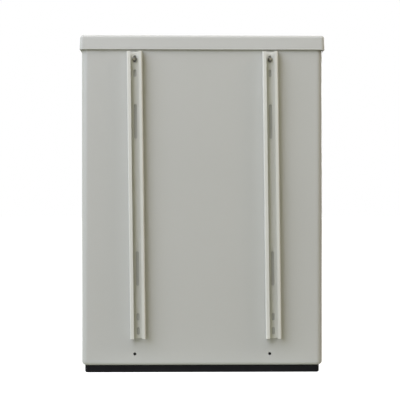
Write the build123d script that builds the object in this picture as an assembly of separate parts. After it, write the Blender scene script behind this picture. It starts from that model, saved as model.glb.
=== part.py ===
from build123d import *
import math
import os

# Roadside utility cabinet in millimetres, Z up. The door faces -Y and the mounting rails are on the rear, +Y.
# Left and right are as seen from the front. The origin is on the ground at the middle of the plinth.

# Overall
body_width = 750.0
body_depth = 320.0
overall_height = 1050.0
overrun = 6.0
running_clearance = 0.05
sliding_clearance = 0.3
seat_gap = 0.3

# Moulded shell
shell_wall = 5.0
floor_thickness = 6.0
rear_corner_radius = 19.0
bottom_edge_radius = 11.0
shell_rib_height = 9.0
shell_rib_thickness = 4.0
shell_rib_places = 3

# Rain cap
cap_overhang = 6.5
cap_skirt_height = 45.5
cap_wall = 4.5
cap_draft_deg = 2.6
cap_corner_radius = 12.0
cap_inner_corner_radius = 4.5
cap_edge_radius = 9.0
cap_inner_edge_radius = 2.0
cap_lip_radius = 1.4
cap_boss_height = 15.0
cap_boss_radius = 13.0
cap_boss_foot_gap = 23.5
cap_boss_end_inset = 95.0
cap_thread_depth = 12.0

# Plinth
plinth_height = 23.5
plinth_inset = 9.5
plinth_rail_width = 70.0
plinth_corner_radius = 10.0
plinth_edge_radius = 5.5
anchor_hole_radius = 6.5
anchor_inset = 48.0
plinth_bolt_foot_gap = 33.5
plinth_bolt_inset = 43.0
plinth_thread_depth = 14.0

# Bolts, shared by the cap, plinth, rails and equipment frame
bolt_radius = 3.95
bolt_hole_radius = 4.7
bolt_thread_radius = 3.35
bolt_tapped_radius = 3.4
bolt_head_across_flats = 13.0
bolt_head_height = 5.3
bolt_head_bevel = 0.8

# Rear rails
rail_spacing = 420.0
rail_bolt_drop = 29.5
rail_hole_distance = 49.0
rail_width = 48.0
rail_depth = 24.0
rail_sheet = 2.5
rail_lip = 11.5
rail_bend_radius = 4.0
rail_lean_deg = 0.74
rail_slot_width = 9.4
rail_short_slot = 23.0
rail_long_slot = 107.0
rail_end_slot_inset = 23.0
rail_slot_pitch = 43.5
rail_long_slot_inset = 216.5
washer_radius = 7.2
washer_thickness = 2.0
lower_hole_height = 59.0

# Threaded inserts behind the rear holes
insert_radius = 7.0
insert_length = 16.0
insert_flange_radius = 11.0
insert_flange_thickness = 2.5

# Front frame
frame_border = 35.0
frame_top_border = 35.5
frame_flange = 6.0
frame_edge_radius = 3.0
frame_corner_radius = 10.0
rebate_wall = 5.0
rebate_depth = 40.0
lip_width = 22.0
lip_thickness = 5.0

# Door
door_gap = 3.0
door_wall = 5.0
door_edge_radius = 3.0
field_margin = 62.0
field_lock_margin = 112.0
field_rise = 3.0
field_draft_deg = 35.0
field_corner_radius = 16.0
door_rib_thickness = 4.0
door_rib_height = 12.0
door_cross_ribs = 3

# Gasket on the sealing lip
gasket_width = 11.0
gasket_height = 8.0
gasket_edge_gap = 1.5
gasket_round = 3.0

# Hinges
hinge_end_inset = 95.0
hinge_length = 72.0
hinge_knuckle_radius = 6.5
hinge_pin_radius = 3.5
hinge_pin_head_radius = 5.5
hinge_pin_head_height = 2.5
hinge_knuckle_gap = 0.5
hinge_leaf_thickness = 3.0
hinge_frame_leaf = 30.0
hinge_door_leaf = 42.0
hinge_leaf_relief = 2.0
hinge_leaf_corner = 4.0
hinge_screw_spread = 44.0
hinge_screw_inset = 9.0

# Small pan-head screws, shared by the hinges, lock and inner fittings
screw_radius = 2.4
screw_hole_radius = 2.7
screw_bite_radius = 2.45
screw_head_radius = 4.6
screw_head_height = 2.6
screw_head_round = 1.6
screw_length = 12.0
inner_bite = 4.0

# Lock
lock_edge_distance = 61.0
escutcheon_width = 44.0
escutcheon_above = 30.0
escutcheon_below = 66.0
escutcheon_thickness = 5.0
escutcheon_edge_radius = 2.0
escutcheon_corner_radius = 14.0
handle_hub_radius = 15.0
handle_hub_height = 36.0
handle_lever_length = 128.0
handle_lever_width = 20.0
handle_lever_thickness = 12.0
handle_edge_radius = 3.5
handle_socket_depth = 24.0
spindle_radius = 7.0
spindle_tail_radius = 5.0
spindle_door_clearance = 1.0
lock_stroke_deg = 90.0

# Lock case
case_half_height = 58.0
case_wall = 4.0
case_cover = 3.5
case_corner_radius = 6.0
case_ear_length = 18.0
case_ear_width = 36.0
case_ear_screw_spread = 18.0
case_boss_radius = 6.0
cover_screw_side = 20.0
cover_screw_rise = 46.0

# Rack and pinion
gear_module = 1.5
pinion_teeth = 16
pressure_angle_deg = 20.0
pinion_tip = 1.5
pinion_root = 1.75
rack_tip = 1.3
rack_root = 1.9
tooth_play = 0.15
pinion_extra_width = 1.0
flank_steps = 3
tooth_middle_share = 0.5

# Locking rods
rod_width = 13.5
rod_thickness = 6.0
rod_lip_gap = 4.0
rod_tip_gap = 4.0
rod_tip_bevel = 3.0
rack_spare = 12.0
rod_tail = 36.0
guide_wall = 4.0
guide_height = 22.0
guide_distance = 110.0
guide_ear = 16.0

# Key cylinder, plug and flap
key_drop = 40.0
key_cylinder_radius = 10.0
key_cylinder_proud = 1.0
key_cylinder_length = 26.0
key_plug_radius = 6.0
key_plug_length = 22.0
key_slot_width = 1.8
key_slot_height = 8.0
key_slot_depth = 5.0
flap_radius = 10.0
flap_thickness = 2.0
flap_arm = 15.0
flap_eye_radius = 4.6
flap_rivet_radius = 2.0
flap_rivet_head_radius = 3.6
flap_rivet_head_height = 1.4

# Document pocket on the door
pocket_width = 250.0
pocket_depth = 20.0
pocket_wall = 2.5
pocket_front_drop = 45.0
pocket_overlap = 14.0
pocket_notch_radius = 10.0

# Equipment frame
upright_wall_distance = 107.5
upright_width = 25.0
upright_depth = 40.0
upright_sheet = 2.0
upright_front = 60.0
upright_hole = 9.0
upright_hole_count = 17
upright_hole_low_end = 80.0
upright_hole_high_end = 116.0
nut_flange = 12.0
nut_flange_thickness = 3.0
foot_width = 58.0
foot_depth = 60.0
foot_thickness = 4.0
foot_corner_radius = 5.0
foot_bolt_spread = 42.0
crossbar_height = 30.0
crossbar_depth = 20.0
crossbar_sheet = 2.0
crossbar_end_inset = 70.0
crossbar_setback = 10.0

# Adapter panels
panel_count = 3
panel_hole_count = 2
panel_gap = 12.0
panel_sheet = 2.0
panel_fold = 10.0
panel_corner_radius = 4.0
adapter_pitch = 38.0
adapter_row_margin = 20.0
adapter_width = 12.8
adapter_height = 9.3
adapter_front = 18.0
adapter_rear = 12.0
adapter_flange_width = 20.0
adapter_flange_thickness = 1.6
dust_cap_length = 9.0
dust_cap_inset = 1.0

# Splice box
splice_side_gap = 20.0
splice_gap = 30.0
splice_depth = 64.0
splice_wall = 2.5
splice_corner_radius = 10.0
splice_lid_depth = 12.0
splice_lid_radius = 3.5
splice_ear = 40.0
splice_hole_count = 4

# Cable bar
cable_bar_height = 34.0
cable_bar_hole_count = 2
tie_slot_margin = 50.0
tie_slot_pitch = 44.0
tie_slot_length = 18.0
tie_slot_width = 3.6

# Earth bar
earth_bar_length = 320.0
earth_bar_height = 25.0
earth_bar_thickness = 5.0
earth_insulator_radius = 10.0
earth_insulator_length = 26.0
earth_insulator_waist = 7.5
earth_insulator_waist_length = 14.0
earth_insulator_spread = 260.0
earth_screw_count = 6
earth_screw_pitch = 34.0

# Gland plate and grommets
gland_foot_gap = 23.5
gland_depth = 130.0
gland_thickness = 3.0
gland_overlap = 20.0
gland_screw_inset = 9.0
gland_corner_radius = 6.0
grommet_pitch = 92.0
grommet_end_inset = 70.0
grommet_hole_radius = 24.0
grommet_flange_radius = 30.0
grommet_flange_height = 4.0
grommet_lower_radius = 27.0
grommet_top_radius = 9.0
grommet_height = 34.0
grommet_steps = 4
grommet_wall = 3.0

# Planes and centre lines worked out from the sizes above
front_y = -body_depth / 2
rear_y = body_depth / 2
side_x = body_width / 2
shell_bottom = plinth_height
shell_top = overall_height - cap_wall - cap_boss_height
shell_front = front_y + frame_flange
floor_top = shell_bottom + floor_thickness
ceiling = shell_top - shell_wall
rear_inside = rear_y - shell_wall
cap_bottom = overall_height - cap_skirt_height
opening_x = side_x - frame_border
opening_low = shell_bottom + frame_border
opening_high = cap_bottom - frame_top_border
lip_rear = front_y + rebate_depth
lip_front = lip_rear - lip_thickness
door_x = opening_x - door_gap
door_low = opening_low + door_gap
door_high = opening_high - door_gap
door_inside = front_y + door_wall
skirt_rear = lip_front - gasket_height - seat_gap
hinge_x = -(opening_x + door_x) / 2
hinge_y = front_y - hinge_knuckle_radius
hinge_places = {
    "upper": door_high - hinge_end_inset,
    "middle": (door_low + door_high) / 2,
    "lower": door_low + hinge_end_inset,
}
lock_x = door_x - lock_edge_distance
lock_z = (door_low + door_high) / 2
key_z = lock_z - key_drop
escutcheon_front = front_y - escutcheon_thickness
key_face = escutcheon_front - key_cylinder_proud
pitch_radius = gear_module * pinion_teeth / 2
tooth_pitch = math.pi * gear_module
rod_front = lip_rear + rod_lip_gap
rod_rear = rod_front + rod_thickness
rod_inner = pitch_radius + rack_root
rod_outer = rod_inner + rod_width
rod_travel = pitch_radius * math.radians(lock_stroke_deg)
case_half_width = rod_outer + sliding_clearance + case_wall
case_rear = rod_rear + pinion_extra_width + seat_gap + case_cover
base_radius = pitch_radius * math.cos(math.radians(pressure_angle_deg))
rod_tips = {1: opening_high - lip_width - rod_tip_gap, -1: opening_low + lip_width + rod_tip_gap}
guide_heights = {side: rod_tips[side] - side * guide_distance for side in (1, -1)}
flap_pivot_z = key_z + flap_arm
rib_rear = door_inside + door_rib_height
rib_low = door_low + door_wall
rib_spacing = (door_high - door_low - 2 * door_wall) / (door_cross_ribs + 1)
door_rib_heights = [rib_low + rib_spacing * (place + 1) for place in range(door_cross_ribs)]
rail_x = rail_spacing / 2
rail_bolt_height = cap_bottom - rail_bolt_drop
rail_length = rail_bolt_height + rail_end_slot_inset - lower_hole_height - rail_hole_distance
rail_rear = rear_y + washer_thickness
upright_spacing = body_width - 2 * shell_wall - 2 * upright_wall_distance
upright_inside = upright_spacing - upright_width
adapters_per_panel = int((upright_inside - 2 * adapter_row_margin) // adapter_pitch)
tie_slots = int((upright_inside - 2 * tie_slot_margin) // tie_slot_pitch) + 1
splice_width = upright_inside - 2 * splice_side_gap
cap_boss_x = upright_spacing / 2 + foot_width / 2 + cap_boss_foot_gap
plinth_bolt_x = upright_spacing / 2 - foot_width / 2 - plinth_bolt_foot_gap
gland_width = upright_spacing - foot_width - 2 * gland_foot_gap
grommet_count = int((gland_width - 2 * grommet_end_inset) // grommet_pitch) + 1
first_hole = floor_top + upright_hole_low_end
last_hole = ceiling - upright_hole_high_end
upright_hole_pitch = (last_hole - first_hole) / (upright_hole_count - 1)
upright_hole_heights = [first_hole + upright_hole_pitch * n for n in range(upright_hole_count)]
panel_height = panel_hole_count * upright_hole_pitch - panel_gap
panel_front = upright_front - panel_sheet
panel_heights = [upright_hole_heights[-panel_hole_count * (n + 1)] for n in range(panel_count)]
splice_z = upright_hole_heights[-panel_hole_count * panel_count - splice_hole_count]
splice_height = splice_hole_count * upright_hole_pitch - splice_gap
splice_joint = upright_front - splice_depth + splice_lid_depth
cable_bar_z = upright_hole_heights[cable_bar_hole_count]
earth_z = floor_top + crossbar_end_inset + crossbar_height / 2
earth_front = upright_front + crossbar_setback - earth_insulator_length - earth_bar_thickness


def block(x, y, z):
    """A box between two opposite corners, each given as a pair along its axis."""
    middle = Pos((x[0] + x[1]) / 2, (y[0] + y[1]) / 2, (z[0] + z[1]) / 2)
    return middle * Box(x[1] - x[0], y[1] - y[0], z[1] - z[0])


def along_y(outline, y_front, y_rear):
    """An outline drawn in X and Z, carried from y_front back to y_rear."""
    plane = Plane(origin=(0, y_rear, 0), x_dir=(1, 0, 0), z_dir=(0, -1, 0))
    return extrude(plane * outline, amount=y_rear - y_front)


def along_z(outline, z_low, z_high):
    """An outline drawn in X and Y, carried from z_low up to z_high."""
    return Pos(0, 0, z_low) * extrude(outline, amount=z_high - z_low)


def rod_y(radius, x, z, y_front, y_rear):
    """A round rod along Y."""
    return along_y(Pos(x, z) * Circle(radius), y_front, y_rear)


def rod_z(radius, x, y, z_low, z_high):
    """A round rod along Z."""
    return along_z(Pos(x, y) * Circle(radius), z_low, z_high)


def window(half_width, low, high, radius):
    """A rounded rectangle in X and Z, centred across X."""
    return Pos(0, (low + high) / 2) * RectangleRounded(2 * half_width, high - low, radius)


def hex_bolt(shank, threaded):
    """A hexagon bolt whose head seats on Z = 0 from above; the last stretch of the shank is threaded."""
    head = extrude(RegularPolygon(bolt_head_across_flats / 2, 6, major_radius=False), amount=bolt_head_height)
    head = chamfer(head.edges().group_by(Axis.Z)[-1], bolt_head_bevel)
    plain = rod_z(bolt_radius, 0, 0, threaded - shank, 0)
    thread = rod_z(bolt_thread_radius, 0, 0, -shank, threaded - shank)
    return head + plain + thread


def pan_screw(length):
    """A pan-head screw whose head seats on Z = 0 from above."""
    head = extrude(Circle(screw_head_radius), amount=screw_head_height)
    head = fillet(head.edges().group_by(Axis.Z)[-1], screw_head_round)
    return head + rod_z(screw_radius, 0, 0, -length, 0)


def group(pieces):
    """Separate solids kept together as one node."""
    return Compound(children=[solid for piece in pieces for solid in piece.solids()])


def facing_front(x, y, z):
    """Places a piece drawn along Z so that its top points to -Y."""
    return Pos(x, y, z) * Rot(90, 0, 0)


def facing_rear(x, y, z):
    """Places a piece drawn along Z so that its top points to +Y."""
    return Pos(x, y, z) * Rot(-90, 0, 0)


def corners(half_x, half_y):
    """The four corners of a rectangle about the origin."""
    return [(i * half_x, j * half_y) for i in (-1, 1) for j in (-1, 1)]


def row(count, pitch):
    """Evenly spaced places about zero."""
    return [(i - (count - 1) / 2) * pitch for i in range(count)]


anchor_places = corners(side_x - plinth_inset - anchor_inset, rear_y - plinth_inset - anchor_inset)
plinth_bolt_places = corners(plinth_bolt_x, rear_y - plinth_inset - plinth_bolt_inset)
cap_boss_places = corners(cap_boss_x, rear_y - cap_boss_end_inset)
foot_bolt_places = [
    (side * upright_spacing / 2 + step, upright_front + upright_depth / 2)
    for side in (-1, 1)
    for step in row(2, foot_bolt_spread)
]
ear_screw_places = [
    (lock_x + step, lock_z + side * (case_half_height + case_ear_length / 2))
    for side in (-1, 1)
    for step in row(2, case_ear_screw_spread)
]
cover_screw_places = [
    (lock_x + side * cover_screw_side, lock_z - side * cover_screw_rise) for side in (-1, 1)
]
guide_screw_places = [
    (lock_x + side * (rod_inner + rod_outer) / 2, guide_heights[side] + step)
    for side in (-1, 1)
    for step in row(2, guide_height + guide_ear)
]
gland_screw_places = corners(gland_width / 2 - gland_screw_inset, gland_depth / 2 - gland_screw_inset)
earth_screw_places = row(earth_screw_count, earth_screw_pitch) + row(2, earth_insulator_spread)
rear_hole_places = [(side * rail_x, z) for side in (-1, 1) for z in (rail_bolt_height, lower_hole_height)]


def rounded_tub(inset, y_front, z_low, z_high, corner_radius, edge_radius):
    """A block with rounded rear corners and bottom edge, drawn in from the shell's outside by inset."""
    half = side_x - inset
    tub = block((-half, half), (y_front, rear_y - inset), (z_low, z_high))
    tub = fillet(tub.edges().filter_by(Axis.Z).group_by(Axis.Y)[-1], corner_radius)
    low_edges = tub.edges().group_by(Axis.Z)[0]
    return fillet([edge for edge in low_edges if edge.center().Y > y_front], edge_radius)


def shell_ribs():
    """Level stiffening ribs moulded on the inside of the rear wall."""
    half = side_x - rear_corner_radius
    spacing = (ceiling - floor_top) / (shell_rib_places + 1)
    for place in range(shell_rib_places):
        z = floor_top + spacing * (place + 1)
        yield block(
            (-half, half),
            (rear_inside - shell_rib_height, rear_inside + shell_wall / 2),
            (z - shell_rib_thickness / 2, z + shell_rib_thickness / 2),
        )


def body_shell():
    """One moulding: rear wall, sides, floor and top, open at the front."""
    outside = rounded_tub(0, shell_front, shell_bottom, shell_top, rear_corner_radius, bottom_edge_radius)
    inside = rounded_tub(
        shell_wall,
        shell_front - overrun,
        floor_top,
        ceiling,
        rear_corner_radius - shell_wall,
        bottom_edge_radius - floor_thickness,
    )
    shell = outside - inside
    for rib in shell_ribs():
        shell += rib
    for x, z in rear_hole_places:
        shell -= rod_y(bolt_hole_radius, x, z, rear_inside - shell_rib_height, rear_y + overrun)
    for x, y in anchor_places:
        shell -= rod_z(anchor_hole_radius, x, y, shell_bottom - overrun, floor_top + overrun)
    for x, y in plinth_bolt_places:
        shell -= rod_z(bolt_hole_radius, x, y, shell_bottom - overrun, floor_top + overrun)
    for x, y in cap_boss_places:
        shell -= rod_z(bolt_hole_radius, x, y, ceiling - overrun, shell_top + overrun)
    for x, y in foot_bolt_places:
        shell -= rod_z(bolt_tapped_radius, x, y, shell_bottom - overrun, shell_top + overrun)
    for x, y in gland_screw_places:
        shell -= rod_z(screw_bite_radius, x, y, shell_bottom - overrun, floor_top + overrun)
    gland_hole = Rectangle(gland_width - 2 * gland_overlap, gland_depth - 2 * gland_overlap)
    shell -= along_z(gland_hole, shell_bottom - overrun, floor_top + overrun)
    return shell


def cap_block(inset, height, corner_radius, edge_radius):
    """A drafted block with a rounded top edge, standing on the lower edge of the cap."""
    width = body_width + 2 * (cap_overhang - inset)
    depth = body_depth + 2 * (cap_overhang - inset)
    solid = extrude(RectangleRounded(width, depth, corner_radius), amount=height, taper=cap_draft_deg)
    solid = fillet(solid.edges().group_by(Axis.Z)[-1], edge_radius)
    return Pos(0, 0, cap_bottom) * solid


def roof_cap():
    """Rain cap: a drafted skirt and a rounded top, standing on four bosses with a gap all round."""
    outside = cap_block(0, cap_skirt_height, cap_corner_radius, cap_edge_radius)
    outside = fillet(outside.edges().group_by(Axis.Z)[0], cap_lip_radius)
    inside = cap_block(
        cap_wall, cap_skirt_height - cap_wall, cap_inner_corner_radius, cap_inner_edge_radius
    )
    cap = outside - inside
    for x, y in cap_boss_places:
        cap += rod_z(cap_boss_radius, x, y, shell_top, overall_height - cap_wall / 2)
        cap -= rod_z(bolt_tapped_radius, x, y, shell_top - overrun, shell_top + cap_thread_depth)
    return cap


def roof_cap_bolts():
    """Bolts from inside the shell up into the cap's bosses."""
    bolt = hex_bolt(shell_wall + cap_thread_depth - seat_gap, cap_thread_depth - seat_gap)
    return group([Pos(x, y, ceiling) * Rot(180, 0, 0) * bolt for x, y in cap_boss_places])


def plinth():
    """Black base ring with anchor holes right through and threads for the shell's bolts."""
    width = body_width - 2 * plinth_inset
    depth = body_depth - 2 * plinth_inset
    ring = along_z(RectangleRounded(width, depth, plinth_corner_radius), 0, plinth_height)
    ring = fillet(ring.edges().group_by(Axis.Z)[0], plinth_edge_radius)
    well_width = width - 2 * plinth_rail_width
    well_depth = depth - 2 * plinth_rail_width
    well = RectangleRounded(well_width, well_depth, plinth_corner_radius)
    ring -= along_z(well, -overrun, plinth_height + overrun)
    for x, y in anchor_places:
        ring -= rod_z(anchor_hole_radius, x, y, -overrun, plinth_height + overrun)
    for x, y in plinth_bolt_places:
        ring -= rod_z(bolt_tapped_radius, x, y, plinth_height - plinth_thread_depth, plinth_height + overrun)
    return ring


def plinth_bolts():
    """Bolts from inside the shell down into the plinth."""
    thread = plinth_thread_depth - seat_gap
    bolt = hex_bolt(floor_thickness + thread, thread)
    return group([Pos(x, y, floor_top) * bolt for x, y in plinth_bolt_places])


def rail_slots():
    """Slot heights below the rail's top end with their lengths, the same from both ends."""
    from_end = [
        (rail_end_slot_inset, rail_short_slot),
        (rail_end_slot_inset + rail_slot_pitch, rail_short_slot),
        (rail_long_slot_inset, rail_long_slot),
    ]
    return from_end + [(rail_length - inset, length) for inset, length in from_end]


def rail():
    """A lipped C-channel folded from sheet and open at both ends, drawn about its top slot."""
    top = rail_end_slot_inset
    low = top - rail_length
    middle_y = rail_depth / 2
    outer = Pos(0, middle_y) * RectangleRounded(rail_width, rail_depth, rail_bend_radius)
    inner_width = rail_width - 2 * rail_sheet
    inner_depth = rail_depth - 2 * rail_sheet
    inner = Pos(0, middle_y) * RectangleRounded(inner_width, inner_depth, rail_bend_radius - rail_sheet)
    mouth_half = rail_width / 2 - rail_lip
    mouth = Pos(0, rail_depth - rail_sheet / 2) * Rectangle(2 * mouth_half, 2 * rail_sheet)
    channel = along_z(outer - inner - mouth, low, top)
    for inset, length in rail_slots():
        slot = Pos(0, top - inset) * SlotOverall(length, rail_slot_width, rotation=90)
        channel -= along_y(slot, -overrun, 2 * rail_sheet)
    return channel


def hung_rail(side):
    """A rail hung on its top bolt a washer clear of the wall, leaning as it hangs there."""
    return Pos(side * rail_x, rail_rear, rail_bolt_height) * Rot(0, rail_lean_deg, 0) * rail()


def rail_bolts():
    """One bolt through each rail's top slot into its insert."""
    grip = 2 * washer_thickness + rail_sheet + shell_wall
    bolt = hex_bolt(grip + insert_length, insert_length)
    seat = rail_rear + rail_sheet + washer_thickness
    return group([facing_rear(side * rail_x, seat, rail_bolt_height) * bolt for side in (-1, 1)])


def rail_washers():
    """A washer under each rail bolt's head and one between the rail and the wall."""
    ring = Circle(washer_radius) - Circle(bolt_hole_radius)
    washer = extrude(ring, amount=washer_thickness)
    places = [(side * rail_x, seat) for side in (-1, 1) for seat in (rear_y, rail_rear + rail_sheet)]
    return group([facing_rear(x, seat, rail_bolt_height) * washer for x, seat in places])


def rear_inserts():
    """Flanged threaded inserts seated behind the four rear holes."""
    barrel = extrude(Circle(insert_radius), amount=insert_length)
    flange = extrude(Circle(insert_flange_radius), amount=insert_flange_thickness)
    bore = rod_z(bolt_tapped_radius, 0, 0, -overrun, insert_length + overrun)
    insert = barrel + flange - bore
    return group([facing_front(x, rear_inside, z) * insert for x, z in rear_hole_places])


def front_frame():
    """Moulded front ring: border, deep rebate for the door and a sealing lip behind it."""
    outline = Pos(0, (shell_bottom + shell_top) / 2) * Rectangle(body_width, shell_top - shell_bottom)
    outline = fillet(outline.vertices().group_by(Axis.Y)[0], bottom_edge_radius)
    opening = window(opening_x, opening_low, opening_high, frame_corner_radius)
    border = along_y(outline - opening, front_y, shell_front)
    border = fillet(border.edges().group_by(Axis.Y)[0], frame_edge_radius)
    wall_outside = window(
        opening_x + rebate_wall,
        opening_low - rebate_wall,
        opening_high + rebate_wall,
        frame_corner_radius + rebate_wall,
    )
    lip_inside = window(
        opening_x - lip_width, opening_low + lip_width, opening_high - lip_width, frame_corner_radius
    )
    walls = along_y(wall_outside - opening, front_y + frame_edge_radius, lip_rear)
    lip = along_y(wall_outside - lip_inside, lip_front, lip_rear)
    frame = border + walls + lip
    for hinge_z in hinge_places.values():
        for x, z in leaf_screw_places(-1, hinge_frame_leaf, hinge_z):
            frame -= rod_y(screw_bite_radius, x, z, front_y - overrun, shell_front + overrun)
    return frame


def door_gasket():
    """Rubber seal on the front of the sealing lip, under the edge of the door."""
    outer_x = opening_x - gasket_edge_gap
    outer_low = opening_low + gasket_edge_gap
    outer_high = opening_high - gasket_edge_gap
    outside = window(outer_x, outer_low, outer_high, frame_corner_radius)
    inside = window(
        outer_x - gasket_width, outer_low + gasket_width, outer_high - gasket_width, frame_corner_radius
    )
    seal = along_y(outside - inside, lip_front - gasket_height, lip_front)
    return fillet(seal.edges().group_by(Axis.Y)[0], gasket_round)


def door_field(inset, y_face):
    """The raised field of the door, drawn in by inset and standing out from y_face with drafted sides."""
    left = -door_x + field_margin + inset
    right = door_x - field_lock_margin - inset
    low = door_low + field_margin + inset
    high = door_high - field_margin - inset
    outline = RectangleRounded(right - left, high - low, field_corner_radius - inset)
    plane = Plane(origin=((left + right) / 2, y_face, (low + high) / 2), x_dir=(1, 0, 0), z_dir=(0, -1, 0))
    return extrude(plane * outline, amount=field_rise, taper=field_draft_deg)


def door_ribs():
    """Ribs across the inside of the door, and one up each side of the field."""
    left = -door_x + field_margin
    right = door_x - field_lock_margin
    root = front_y + (door_wall - field_rise) / 2
    half = door_rib_thickness / 2
    for x in (left, right):
        yield block((x - half, x + half), (root, rib_rear), (rib_low, door_high - door_wall))
    for z in door_rib_heights:
        yield block((left, right), (root, rib_rear), (z - half, z + half))


def door_panel():
    """Moulded door: skin with a raised field, a skirt round its edge and ribs behind."""
    outline = window(door_x, door_low, door_high, frame_corner_radius - door_gap)
    skirt_inside = window(
        door_x - door_wall, door_low + door_wall, door_high - door_wall, frame_corner_radius - door_gap
    )
    skin = along_y(outline, front_y, door_inside)
    skin = fillet(skin.edges().group_by(Axis.Y)[0], door_edge_radius)
    door = skin + along_y(outline - skirt_inside, door_inside - door_edge_radius / 2, skirt_rear)
    door += door_field(0, front_y)
    door -= door_field(door_wall, door_inside)
    for rib in door_ribs():
        door += rib
    near = front_y - overrun
    far = door_inside + overrun
    door -= rod_y(spindle_radius + spindle_door_clearance, lock_x, lock_z, near, far)
    door -= rod_y(key_cylinder_radius + sliding_clearance, lock_x, key_z, near, far)
    for hinge_z in hinge_places.values():
        for x, z in leaf_screw_places(1, hinge_door_leaf, hinge_z):
            door -= rod_y(screw_bite_radius, x, z, near, far)
    for x, z in ear_screw_places + guide_screw_places:
        door -= rod_y(screw_bite_radius, x, z, door_inside - inner_bite - seat_gap, far)
    return door


def hinge_leaf(side, width, z_low, z_high, z):
    """A flat leaf beside the hinge axis (side -1 frame, 1 door) with a knuckle from z_low to z_high."""
    relief = hinge_knuckle_radius + hinge_leaf_relief
    plate_outline = RectangleRounded(width - relief, hinge_length, hinge_leaf_corner)
    plate_outline = Pos(hinge_x + side * (relief + width) / 2, z) * plate_outline
    tab_width = relief + hinge_leaf_corner
    tab_outline = Rectangle(tab_width, z_high - z_low)
    tab_outline = Pos(hinge_x + side * tab_width / 2, (z_low + z_high) / 2) * tab_outline
    leaf = along_y(plate_outline + tab_outline, front_y - hinge_leaf_thickness, front_y)
    leaf += rod_z(hinge_knuckle_radius, hinge_x, hinge_y, z_low, z_high)
    leaf -= rod_z(hinge_pin_radius + running_clearance, hinge_x, hinge_y, z_low - overrun, z_high + overrun)
    for x, screw_z in leaf_screw_places(side, width, z):
        leaf -= rod_y(screw_hole_radius, x, screw_z, hinge_y, front_y + overrun)
    return leaf


def leaf_screw_places(side, width, z):
    """The two screws of one hinge leaf."""
    x = hinge_x + side * (width - hinge_screw_inset)
    return [(x, z + step) for step in (-hinge_screw_spread / 2, hinge_screw_spread / 2)]


def hinge_frame_leaf_at(z):
    """The frame's leaf carries the lower knuckle."""
    return hinge_leaf(-1, hinge_frame_leaf, z - hinge_length / 2, z - hinge_knuckle_gap / 2, z)


def hinge_door_leaf_at(z):
    """The door's leaf carries the upper knuckle."""
    return hinge_leaf(1, hinge_door_leaf, z + hinge_knuckle_gap / 2, z + hinge_length / 2, z)


def hinge_pins():
    """One headed pin down through each pair of knuckles."""
    pins = []
    for z in hinge_places.values():
        top = z + hinge_length / 2 + seat_gap
        pin = rod_z(hinge_pin_radius, hinge_x, hinge_y, z - hinge_length / 2, top)
        head = rod_z(hinge_pin_head_radius, hinge_x, hinge_y, top, top + hinge_pin_head_height)
        pins.append(pin + head)
    return group(pins)


def hinge_screws(side, width):
    """The screws of the three leaves on one side of the hinge line."""
    screw = pan_screw(screw_length)
    seat = front_y - hinge_leaf_thickness
    places = [place for z in hinge_places.values() for place in leaf_screw_places(side, width, z)]
    return group([facing_front(x, seat, z) * screw for x, z in places])


def lock_escutcheon():
    """Die-cast plate under the handle and key, with a raised pad for the flap's rivet."""
    middle = lock_z + (escutcheon_above - escutcheon_below) / 2
    height = escutcheon_above + escutcheon_below
    outline = RectangleRounded(escutcheon_width, height, escutcheon_corner_radius)
    plate = along_y(Pos(lock_x, middle) * outline, escutcheon_front, front_y)
    plate = fillet(plate.edges().group_by(Axis.Y)[0], escutcheon_edge_radius)
    plate += rod_y(flap_eye_radius, lock_x, flap_pivot_z, key_face, escutcheon_front)
    far = front_y + overrun
    near = escutcheon_front - overrun
    plate -= rod_y(spindle_radius + running_clearance, lock_x, lock_z, near, far)
    plate -= rod_y(key_cylinder_radius + running_clearance, lock_x, key_z, near, far)
    plate -= rod_y(flap_rivet_radius + running_clearance, lock_x, flap_pivot_z, near, far)
    return plate


def handle():
    """Turning handle: a round hub with a lever that lies level while the door is unlocked."""
    rear = escutcheon_front - seat_gap
    front = rear - handle_hub_height
    hub = rod_y(handle_hub_radius, lock_x, lock_z, front, rear)
    hub = fillet(hub.edges().group_by(Axis.Y)[0], handle_edge_radius)
    outline = SlotOverall(handle_lever_length + handle_lever_width, handle_lever_width)
    outline = Pos(lock_x - handle_lever_length / 2, lock_z) * outline
    lever = along_y(outline, front, front + handle_lever_thickness)
    levels = lever.edges().group_by(Axis.Y)
    lever = fillet(levels[0] + levels[-1], handle_edge_radius)
    socket_end = rear - handle_socket_depth
    socket = rod_y(spindle_radius + running_clearance, lock_x, lock_z, socket_end, rear + overrun)
    return hub + lever - socket


def tooth_half_angle(radius):
    """Half the angle that a pinion tooth spans at a radius, from the involute of its base circle."""
    pressure = math.radians(pressure_angle_deg)
    at_pitch = math.pi / (2 * pinion_teeth) - tooth_play / pitch_radius
    here = math.acos(base_radius / radius)
    return at_pitch + (math.tan(pressure) - pressure) - (math.tan(here) - here)


def pinion_outline():
    """Involute teeth about the spindle, one of them pointing at each rack."""
    tip = pitch_radius + pinion_tip
    root = pitch_radius - pinion_root
    radii = [base_radius + (tip - base_radius) * step / flank_steps for step in range(flank_steps + 1)]
    flank = [(root, tooth_half_angle(base_radius))] + [(radius, tooth_half_angle(radius)) for radius in radii]
    points = []
    for tooth in range(pinion_teeth):
        centre = 2 * math.pi * tooth / pinion_teeth
        for radius, half in flank:
            points.append((radius * math.cos(centre - half), radius * math.sin(centre - half)))
        for radius, half in reversed(flank):
            points.append((radius * math.cos(centre + half), radius * math.sin(centre + half)))
    return make_face(Polyline(*points, close=True))


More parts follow.
